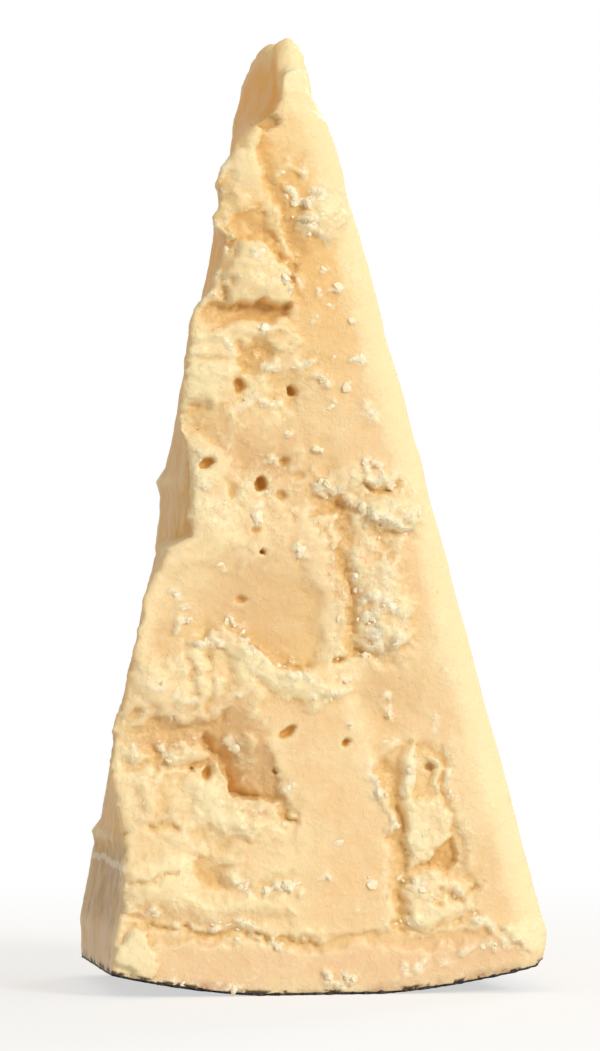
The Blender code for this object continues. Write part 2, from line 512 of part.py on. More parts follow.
def face_relief(flat, features, crumbles, coarse, side):
    """Give how far a craggy face stands out at each (x, z); side tells front from back."""
    body = np.column_stack([flat[:, 0], np.full(len(flat), side), flat[:, 1]])
    bend = [BEND.wander(body, shift) for shift in (0.0, 40.0)]
    fray = [FRAY.wander(body, shift) for shift in (80.0, 120.0)]
    warped = flat + np.column_stack(bend) + np.column_stack(fray)
    height = np.zeros(len(flat))
    for feature in features:
        height = feature.shape(height, flat, warped)
    rough = np.full(len(flat), coarse)
    for crumble in crumbles:
        share = smooth_step(0.5 + depth_inside(warped, crumble.outline) / CRUMBLE_FADE)
        rough = np.maximum(rough, crumble.coarse * share)
    patches = smooth_step(0.5 + PATCHES.wander(body, 160.0))
    tossed = body + np.column_stack([TOSS.wander(body, shift) for shift in (5.0, 9.0, 13.0)])
    height = FACE_BOLD * height + WAVES.wander(body, 240.0)
    height += rough * (LUMPS.domes(tossed) + FACETS.facets(tossed, 20.0)
                       + patches * SMALL_FACETS.facets(tossed, 30.0)
                       + TERRACES.terraces(tossed, 60.0) + SWELLS.wander(body, 200.0))
    for eye in EYES if side < 0 else []:
        turn = np.radians(eye.turn)
        across, up = (flat + EYE_FRAY * (warped - flat) - np.array(eye.middle)).T
        wide = (across * np.cos(turn) + up * np.sin(turn)) / eye.width
        high = (up * np.cos(turn) - across * np.sin(turn)) / eye.height
        height -= eye.depth * np.clip(1.0 - np.hypot(wide, high) ** EYE_ROUND, 0.0, 1.0) ** EYE_WALL
    return height


def reached_relief(flat, reach, *face):
    """Give a face's relief times its reach, worked out only where it reaches."""
    height = np.zeros(len(flat))
    near = reach > 0.0
    height[near] = face_relief(flat[near], *face)
    return height * reach


def rim_height(x):
    """Give the height of the rind, the wheel's arc, with its flat spot at z = 0."""
    middle = np.sqrt(WHEEL_RADIUS ** 2 - (REST_WIDTH / 2) ** 2)
    reach = np.minimum(np.abs(x), WIDEST)
    return np.maximum(middle - np.sqrt(WHEEL_RADIUS ** 2 - reach ** 2), 0.0)


def fade_between(z, between, fades):
    """Rise from 0 to 1 above the lower height and sink back to 0 up to the upper height."""
    return smooth_step((z - between[0]) / fades[0]) * smooth_step((between[1] - z) / fades[1])


def cut_left(z):
    """Give x on the straight left cut, up to the blunt tip."""
    return np.minimum(CUT_FOOT_LEFT + CUT_LEAN_LEFT * z, TIP_LEFT)


def cut_right(z):
    """Give x on the straight right cut, up to the blunt tip."""
    return np.maximum(CUT_FOOT_RIGHT + CUT_LEAN_RIGHT * z, TIP_RIGHT)


def slice_outline():
    """Give the outline of the slice seen from the front: rind, right cut, blunt tip, left cut."""
    left, right = cut_left(FOOT_LEFT), cut_right(FOOT_RIGHT)
    rind = [(x, rim_height(x)) for x in np.linspace(left, right - CORNER_CUT, 30)]
    bend = CORNER_RISE * CORNER_CUT
    corner = [(right - bend, rim_height(right) + bend), (right, CORNER_HEIGHT)]
    right_cut = [(cut_right(z), z) for z in (*CUT_HEIGHTS, TIP_HEIGHT)]
    left_cut = [(cut_left(z), z) for z in (TIP_HEIGHT, *LEFT_HEIGHTS)]
    return rind + corner + right_cut + left_cut


def evaluated_mesh(obj):
    """Give a mesh of the object with its modifiers applied, and remove the object."""
    depsgraph = bpy.context.evaluated_depsgraph_get()
    mesh = bpy.data.meshes.new_from_object(obj.evaluated_get(depsgraph))
    bpy.data.objects.remove(obj)
    return mesh


def add_object(name, data):
    """Link a new object with this data to the part's collection."""
    obj = bpy.data.objects.new(name, data)
    collection.objects.link(obj)
    return obj


def plain_slice():
    """Extrude the outline, weld it shut and remesh it into small even quads."""
    curve = bpy.data.curves.new("slice_outline", "CURVE")
    curve.dimensions, curve.fill_mode = "2D", "BOTH"
    curve.extrude = DEPTH / 2
    outline = slice_outline()
    spline = curve.splines.new("POLY")
    spline.points.add(len(outline) - 1)
    for point, (x, z) in zip(spline.points, outline):
        point.co = (x, z, 0.0, 1.0)
    spline.use_cyclic_u = True
    mesh = evaluated_mesh(add_object("slice_outline", curve))
    bpy.data.curves.remove(curve)
    work = bmesh.new()
    work.from_mesh(mesh)
    bmesh.ops.remove_doubles(work, verts=work.verts, dist=0.001)
    bmesh.ops.recalc_face_normals(work, faces=work.faces)
    work.to_mesh(mesh)
    work.free()
    slab = add_object("slab", mesh)
    remesh = slab.modifiers.new("even quads", "REMESH")
    remesh.mode, remesh.voxel_size = "VOXEL", VOXEL
    return evaluated_mesh(slab)


def move_points(points):
    """Move points of the plain slice (x, y, z) to where the broken chunk has them."""
    x, y, z = points.T
    share = np.clip((y - FRONT) / DEPTH, 0.0, 1.0)
    across = (x - cut_left(z)) / (cut_right(z) - cut_left(z))
    left_front, left_back = edge_at(FRONT_LEFT_EDGE, z), edge_at(BACK_LEFT_EDGE, z)
    left = left_front + (left_back - left_front) * share
    right = cut_right(z) + edge_at(RIGHT_EDGE_SWELL, z) + RIGHT_WAVES.wander(points, 320.0)
    crag = np.exp(-share / CRAG_DEPTH) * fade_between(z, CRAG_BETWEEN, CRAG_FADES)
    fold = np.exp(-share / FOLD_DEPTH) * fade_between(z, FOLD_BETWEEN, FOLD_FADES)
    left += LEFT_WAVES.wander(points, 300.0)
    left -= crag * (CRAGS.facets(points, 7.0) + SMALL_CRAGS.facets(points, 17.0) + CRAG_STEP)
    left -= fold * FOLDS.facets(points * FOLD_STRETCH, 27.0)
    cleft = np.exp(-((share - CLEFT_PLACE) / CLEFT_WIDTH) ** 2)
    left += CLEFT * cleft * fade_between(z, CLEFT_BETWEEN, CLEFT_FADES)
    moved_x = left + across * (right - left)

    flat = np.column_stack([moved_x, z])
    to_left = np.clip(1.0 - (moved_x - left) / EDGE_WIDTH_LEFT, 0.0, 1.0)
    to_right = np.clip(1.0 - (right - moved_x) / EDGE_WIDTH_RIGHT, 0.0, 1.0)
    sharper = 1.0 - TIP_SHARPER * smooth_step((z - TIP_FROM) / TIP_FADE)
    rounding = EDGE_DROP_LEFT * sharper * to_left ** 2 + EDGE_DROP_RIGHT * to_right ** 2
    front_reach = smooth_step(1.0 - share / FACE_REACH)
    back_reach = smooth_step(1.0 - (1.0 - share) / FACE_REACH)
    moved_y = FRONT + share * (edge_at(BACK_BREAK, z) - FRONT) + rounding * (front_reach - back_reach)
    moved_y -= reached_relief(flat, front_reach, FRONT_FACE, CRUMBLES, PLAIN_COARSE, FRONT)
    moved_y += reached_relief(flat, back_reach, BACK_FACE, [], BACK_COARSE, BACK)

    top = smooth_step((z - TOP_FROM) / (TIP_HEIGHT - TOP_FROM))
    foot = np.clip(1.0 - z / FOOT_TO, 0.0, 1.0)
    round_top = CREST_DROP * (2.0 * across - 1.0) ** 2 + CREST_WAVES.wander(points, 340.0)
    moved_z = z + top * (edge_at(CREST, moved_y) - TIP_HEIGHT - round_top)
    moved_z += foot * (rim_height(moved_x) - rim_height(x))
    return np.column_stack([moved_x, moved_y, moved_z])


def paste_material():
    """Make the pale straw paste."""
    material = bpy.data.materials.new("pecorino_paste")
    material.use_nodes = True
    shader = material.node_tree.nodes["Principled BSDF"]
    shader.inputs["Base Color"].default_value = (0.86, 0.68, 0.38, 1.0)
    shader.inputs["Roughness"].default_value = 0.5
    return material


def build_wedge():
    """Make the chunk: slice, break, thin out the triangles, and level the flat spot."""
    mesh = plain_slice()
    points = np.empty(len(mesh.vertices) * 3)
    mesh.vertices.foreach_get("co", points)
    # The outline lies in the curve's XY plane: its Y is the chunk's Z.
    points = points.reshape(-1, 3)[:, [0, 2, 1]] * (1.0, -1.0, 1.0)
    mesh.vertices.foreach_set("co", (move_points(points) * MM).ravel())
    rough = add_object("rough_wedge", mesh)
    thin = rough.modifiers.new("fewer triangles", "DECIMATE")
    thin.ratio = TARGET_TRIANGLES / (2 * len(mesh.polygons))
    thin.use_collapse_triangulate = True
    mesh = evaluated_mesh(rough)
    for vertex in mesh.vertices:
        if vertex.co.z < REST_LEVEL * MM:
            vertex.co.z = 0.0
    mesh.shade_smooth()
    mesh.set_sharp_from_angle(angle=np.radians(40.0))
    mesh.materials.clear()
    mesh.materials.append(paste_material())
    return add_object(NAME, mesh)


for leftover in list(bpy.data.objects):
    bpy.data.objects.remove(leftover)
collection = bpy.data.collections.new("pecorino_chunk")
bpy.context.scene.collection.children.link(collection)
build_wedge()
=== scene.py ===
"""The looks of a pecorino romano chunk: paste, rind, crumbs, floor, lights and camera.

Lengths in the chunk's own classes are millimetres, and MM turns them into metres. The chunk
stands on its rind, with its craggy front face along -Y and its tip up.
"""
import sys

import logging
from dataclasses import dataclass
from enum import Enum
from typing import Sequence

import bmesh
import bpy
import numpy as np
from mathutils import Euler, Matrix, Vector, bvhtree, kdtree, noise


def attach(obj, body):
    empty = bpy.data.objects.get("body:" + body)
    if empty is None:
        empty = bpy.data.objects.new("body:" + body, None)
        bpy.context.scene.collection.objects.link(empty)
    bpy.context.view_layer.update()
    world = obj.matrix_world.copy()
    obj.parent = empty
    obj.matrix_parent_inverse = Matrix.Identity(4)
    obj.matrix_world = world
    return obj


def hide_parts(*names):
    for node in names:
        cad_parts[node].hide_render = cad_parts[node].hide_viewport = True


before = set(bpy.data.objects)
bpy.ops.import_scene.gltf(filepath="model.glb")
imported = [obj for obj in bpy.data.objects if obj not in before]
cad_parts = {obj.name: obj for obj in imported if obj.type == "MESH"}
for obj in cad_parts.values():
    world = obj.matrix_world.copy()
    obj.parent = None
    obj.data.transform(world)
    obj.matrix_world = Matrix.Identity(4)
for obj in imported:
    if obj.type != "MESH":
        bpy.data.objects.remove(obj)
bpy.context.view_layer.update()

log = logging.getLogger("pecorino")

MM = 0.001
Colour = tuple[float, float, float]
Point = tuple[float, float]
Place = tuple[float, float, float]
Outline = Sequence[Point]
Socket = bpy.types.NodeSocket
Amount = float | Socket
Paint = Colour | Socket


# ------------------------------
# Noise and distances
# ------------------------------

def smooth_step(t: np.ndarray) -> np.ndarray:
    """Rise gently from 0 to 1.

    Args:
        t: Values; below 0 gives 0 and above 1 gives 1.

    Returns:
        The eased values.
    """
    t = np.clip(t, 0.0, 1.0)
    return t * t * (3.0 - 2.0 * t)


def wander(points: np.ndarray, size: float, octaves: int = 3, shift: float = 0.0) -> np.ndarray:
    """Give smooth noise, about -1 to 1.

    Args:
        points: Places, one row each, in millimetres.
        size: Width of the largest lumps.
        octaves: How many finer layers are added up.
        shift: Moves the noise, so that several differ.

    Returns:
        One value for each point.
    """
    return np.array([
        noise.fractal((x / size + shift, y / size, z / size), 0.9, 2.0, octaves)
        for x, y, z in points.tolist()])


@dataclass(frozen=True)
class Layer:
    """One layer of roughness: its strength, the width of its lumps, its octaves and its shift."""

    strength: float
    size: float
    octaves: int = 3
    shift: float = 0.0

    def wander(self, points: np.ndarray, shift: float = 0.0) -> np.ndarray:
        """Give the layer as smooth noise, moved by another shift."""
        return self.strength * wander(points, self.size, self.octaves, self.shift + shift)

    def crumbs(self, points: np.ndarray) -> np.ndarray:
        """Give rounded lumps side by side, each at a height of its own.

        Args:
            points: Places, one row each, in millimetres.

        Returns:
            One value for each point.
        """
        size, shift, heights = self.size, self.shift, []
        for x, y, z in points.tolist():
            distances, middles = noise.voronoi((x / size + shift, y / size, z / size))
            dome = 1.0 - min(distances[0], 1.0) ** 2
            heights.append(dome - 0.55 + 0.28 * noise.cell(middles[0]))
        return self.strength * np.array(heights)

    def chips(self, points: np.ndarray) -> np.ndarray:
        """Give flat facets side by side, each tilted its own way, as dry paste chips.

        Args:
            points: Places, one row each, in millimetres.

        Returns:
            One value for each point.
        """
        size, shift, heights = self.size, self.shift, []
        middle_lean = Vector((0.5, 0.5, 0.5))
        for x, y, z in points.tolist():
            place = Vector((x / size + shift, y / size, z / size))
            distances, middles = noise.voronoi(place)
            own, next_one = [
                0.5 * noise.cell(middle)
                + 1.6 * (noise.cell_vector(middle) - middle_lean).dot(place - middle)
                for middle in middles[:2]]
            share = 0.5 + 0.5 * min((distances[1] - distances[0]) / 0.3, 1.0)
            heights.append(next_one + share * (own - next_one))
        return self.strength * np.array(heights)

    def flakes(self, points: np.ndarray) -> np.ndarray:
        """Give flat terraces with ragged steps between them, as a flaky paste breaks.

        Args:
            points: Places, one row each, in millimetres.

        Returns:
            One value for each point.
        """
        level = 2.6 * wander(points, self.size, self.octaves, self.shift)
        rest = level - np.floor(level)
        return self.strength * (np.floor(level) + smooth_step((rest - 0.5) / 0.16 + 0.5) - 0.75 * level)


# What bends and frays the outlines traced on a face, and tosses its crumbs about.
BEND = Layer(1.8, 10.0, 2)
FRAY = Layer(1.0, 2.6, 4)
TOSS = Layer(0.5, 2.0, 2)
# How the paste breaks, from broad to fine.
WAVES = Layer(0.3, 16.0, 3, 240.0)
RIPPLES = Layer(0.07, 2.2, 3, 260.0)
SWELLS = Layer(0.35, 5.0, 3, 200.0)
TERRACES = Layer(0.4, 8.0, 4, 60.0)
LUMPS = Layer(0.8, 5.2)
FACETS = Layer(0.6, 3.4, shift=20.0)
SMALL_FACETS = Layer(0.4, 1.7, shift=30.0)
GRANULES = Layer(0.25, 1.3, shift=90.0)
PATCHES = Layer(1.4, 7.0, 2, 160.0)
# The pale crumbs that lie on it.
COVER_GAPS = Layer(1.4, 2.6, 2, 180.0)
GRAINS = Layer(1.0, 2.1, shift=50.0)
FINE_GRAINS = Layer(0.5, 1.0, shift=70.0)
CRUMB_CLUSTERS = Layer(1.5, 4.0, 3, 500.0)
# The two cuts, the crest and the rind.
LEFT_WAVES = Layer(0.4, 12.0, 3, 300.0)
RIGHT_WAVES = Layer(0.3, 12.0, 3, 320.0)
CRAGS = Layer(0.7, 4.2, shift=7.0)
SMALL_CRAGS = Layer(0.5, 1.9, shift=17.0)
FOLDS = Layer(1.1, 4.0, shift=27.0)
CREST_WAVES = Layer(0.4, 3.0, 2, 340.0)
RIND_FRAY = Layer(0.7, 1.2, 3, 400.0)
RIND_WAVES = Layer(0.25, 2.5, 3, 420.0)


def segment_distance(flat: np.ndarray, start: Point, end: Point) -> tuple[np.ndarray, np.ndarray]:
    """Measure points against a straight segment.

    Args:
        flat: Points (x, z), one row each.
        start: The segment's first end.
        end: The segment's other end.

    Returns:
        The distances, and values above 0 for points on the segment's left.
    """
    along = np.subtract(end, start)
    away = flat - start
    part = np.clip(away @ along / (along @ along), 0.0, 1.0)
    gap = away - part[:, None] * along
    side = along[0] * away[:, 1] - along[1] * away[:, 0]
    return np.hypot(gap[:, 0], gap[:, 1]), side


def path_distance(flat: np.ndarray, path: np.ndarray) -> tuple[np.ndarray, np.ndarray]:
    """Measure points against a path of straight segments.

    Args:
        flat: Points (x, z), one row each.
        path: The path's corners, one row each.

    Returns:
        The distances, and values above 0 for points on the path's left.
    """
    best, side = segment_distance(flat, path[0], path[1])
    for start, end in zip(path[1:], path[2:]):
        distance, other = segment_distance(flat, start, end)
        side = np.where(distance < best, other, side)
        best = np.minimum(best, distance)
    return best, side


def depth_inside(flat: np.ndarray, outline: Outline) -> np.ndarray:
    """Measure how far points lie inside a closed outline.

    Args:
        flat: Points (x, z), one row each.
        outline: The outline's corners.

    Returns:
        The distance to the outline, below 0 for a point outside.
    """
    ring = np.array(list(outline) + [outline[0]], float)
    best = path_distance(flat, ring)[0]
    inside = np.zeros(len(flat), bool)
    for (ax, az), (bx, bz) in zip(ring[:-1], ring[1:]):
        spans = (az > flat[:, 1]) != (bz > flat[:, 1])
        run = (bx - ax) / (bz - az if bz != az else 1.0)
        inside ^= spans & (flat[:, 0] < ax + run * (flat[:, 1] - az))
    return np.where(inside, best, -best)


# ------------------------------
# What a broken face is made of
# ------------------------------

@dataclass(frozen=True)
class Ledge:
    """A patch broken off flat: inside the outline the face lies at its own level and tilt."""

    name: str
    outline: Outline
    level: float
    tilt: Point = (0.0, 0.0)
    soft: float = 1.0

    def shape(self, height: np.ndarray, flat: np.ndarray, warped: np.ndarray) -> np.ndarray:
        """Bring the height inside the outline to the ledge's plane.

        Args:
            height: Height of the face so far.
            flat: Points (x, z) of the face.
            warped: The same points, moved to and fro so that edges come out ragged.

        Returns:
            The new height.
        """
        share = smooth_step(0.5 + depth_inside(warped, self.outline) / self.soft)
        middle = np.mean(self.outline, axis=0)
        plane = self.level + (flat - middle) @ np.array(self.tilt)
        return height + share * (plane - height)


@dataclass(frozen=True)
class Swell:
    """A mound: it rises over its shoulder's width from the outline to its height."""

    name: str
    outline: Outline
    height: float
    shoulder: float

    def shape(self, height: np.ndarray, flat: np.ndarray, warped: np.ndarray) -> np.ndarray:
        """Add the mound to the height so far."""
        inside = np.clip(depth_inside(warped, self.outline) / self.shoulder, 0.0, 1.0)
        return height + self.height * np.sin(0.5 * np.pi * inside)


@dataclass(frozen=True)
class Crease:
    """A fold or crack along a path, with its own width on each side of the path."""

    name: str
    path: Outline
    depth: float
    left: float
    right: float

    def shape(self, height: np.ndarray, flat: np.ndarray, warped: np.ndarray) -> np.ndarray:
        """Cut the crease into the height.

        Args:
            height: Height of the face so far.
            flat: Points (x, z) of the face; not used.
            warped: The same points, moved to and fro so that edges come out ragged.

        Returns:
            The new height.
        """
        distance, side = path_distance(warped, np.array(self.path, float))
        share = np.clip(distance / np.where(side > 0, self.left, self.right), 0.0, 1.0)
        return height - self.depth * (1.0 - share ** 1.5) ** 2


@dataclass(frozen=True)
class Crumble:
    """A stretch of the face that broke into crumbs, and how coarse it is."""

    name: str
    outline: Outline
    coarse: float


@dataclass(frozen=True)
class CrumbTrail:
    """A trail of pale crumbs along a path, or one grain where the path has a single point."""

    path: Outline
    reach: float
    amount: float

    def cover(self, flat: np.ndarray) -> np.ndarray:
        """Give how thickly the crumbs lie.

        Args:
            flat: Points (x, z) of the face.

        Returns:
            The cover at each point, 0 to 1.
        """
        path = np.array([*self.path, self.path[-1]], float)
        path[-1] += 0.01
        return self.amount * np.exp(-(path_distance(flat, path)[0] / self.reach) ** 2)


def turned(flat: np.ndarray, middle: Point, wide: float, high: float, turn: float) -> np.ndarray:
    """Measure points in an oval's own directions, where its rim is at 1.

    Args:
        flat: Points (x, z).
        middle: The oval's middle.
        wide: Half its width.
        high: Half its height.
        turn: Its turn in degrees.

    Returns:
        Each point's distance from the middle.
    """
    angle = np.radians(turn)
    across, up = (flat - np.array(middle)).T
    return np.hypot((across * np.cos(angle) + up * np.sin(angle)) / wide,
                    (up * np.cos(angle) - across * np.sin(angle)) / high)


@dataclass(frozen=True)
class ToneAndShade:
    """A soft patch where the paste is painted tanner (above 0) or paler (below 0) than around it: partly the
    paste's own tone, partly painted shade in hollows and painted light on mounds.
    """

    name: str
    middle: Point
    wide: float
    high: float
    amount: float
    turn: float = 0.0
    fade: float = 2.6

    def share(self, flat: np.ndarray) -> np.ndarray:
        """Give the patch's amount at each point (x, z), fading out from its middle."""
        away = turned(flat, self.middle, self.wide, self.high, self.turn)
        return self.amount * np.exp(-away ** self.fade)


@dataclass(frozen=True)
class Eye:
    """A small round hole: its middle, width, height, turn in degrees, and depth."""

    middle: Point
    width: float
    height: float
    turn: float
    depth: float
    fray: float = 0.35
    roundness: float = 2.2
    wall: float = 0.6

    def pit(self, flat: np.ndarray, warped: np.ndarray) -> np.ndarray:
        """Give the hole's depth.

        Args:
            flat: Points (x, z) of the face.
            warped: The same points, moved to and fro so that edges come out ragged.

        Returns:
            The depth at each point, 0 outside the hole.
        """
        frayed = self.fray * warped + (1.0 - self.fray) * flat
        away = turned(frayed, self.middle, self.width, self.height, self.turn)
        return self.depth * np.clip(1.0 - away ** self.roundness, 0.0, 1.0) ** self.wall


class Facing(Enum):
    """Which way a broken face looks, as the y of its plane."""

    FRONT = -24.0
    BACK = 24.0


@dataclass(frozen=True)
class BrokenFace:
    """A craggy face: its ledges, mounds and cracks in the order they broke, and its crumbs."""

    facing: Facing
    features: Sequence[Ledge | Swell | Crease]
    crumbles: Sequence[Crumble]
    eyes: Sequence[Eye]
    trails: Sequence[CrumbTrail]
    tones_and_shade: Sequence[ToneAndShade]
    coarse: float
    bold: float = 0.72
    crumble_fade: float = 3.0
    cover_toss: float = 2.2
    cover_lift: float = 0.1
    grain_rise: float = 1.5

    def relief(self, flat: np.ndarray) -> np.ndarray:
        """Work out how far the face stands out and what its surface is like.

        Args:
            flat: Points (x, z) of the face.

        Returns:
            One column for each point: its height, how coarsely it crumbled, how thickly pale
            crumbs cover it, how deep it lies in an eye, the height without its roughness, and
            its tone, partly the paste's own and partly painted shade and light.
        """
        body = np.column_stack([flat[:, 0], np.full(len(flat), self.facing.value), flat[:, 1]])
        bend = [BEND.wander(body, shift) for shift in (0.0, 40.0)]
        fray = [FRAY.wander(body, shift) for shift in (80.0, 120.0)]
        warped = flat + np.column_stack(bend) + np.column_stack(fray)
        height = np.zeros(len(flat))
        for feature in self.features:
            height = feature.shape(height, flat, warped)
        height *= self.bold
        rough = np.full(len(flat), self.coarse)
        for crumble in self.crumbles:
            share = smooth_step(0.5 + depth_inside(warped, crumble.outline) / self.crumble_fade)
            rough = np.maximum(rough, crumble.coarse * share)
        broad = height.copy()
        patches = smooth_step(0.5 + PATCHES.wander(body))
        toss = np.column_stack([TOSS.wander(body, shift) for shift in (5.0, 9.0, 13.0)])
        tossed = body + toss
        height += rough * (LUMPS.crumbs(tossed) + FACETS.chips(tossed)
                           + patches * SMALL_FACETS.chips(tossed) + GRANULES.crumbs(tossed)
                           + TERRACES.flakes(tossed) + SWELLS.wander(body))
        height += WAVES.wander(body) + RIPPLES.wander(body)
        cover, pit = np.zeros(len(flat)), np.zeros(len(flat))
        for trail in self.trails:
            cover = np.maximum(cover, trail.cover(flat + self.cover_toss * toss[:, :2]))
        cover *= smooth_step(0.7 + COVER_GAPS.wander(body))
        grains = np.maximum(GRAINS.crumbs(tossed) + 0.2, 0.0)
        height += cover * (self.cover_lift + self.grain_rise * grains + FINE_GRAINS.crumbs(tossed))
        for eye in self.eyes:
            pit = np.maximum(pit, eye.pit(flat, warped))
        tone_and_shade = np.clip(sum((tone_and_shade.share(warped) for tone_and_shade in self.tones_and_shade), np.zeros(len(flat))), -1, 1)
        return np.column_stack([height - pit, rough * (0.4 + 0.6 * patches), cover, pit, broad, tone_and_shade])


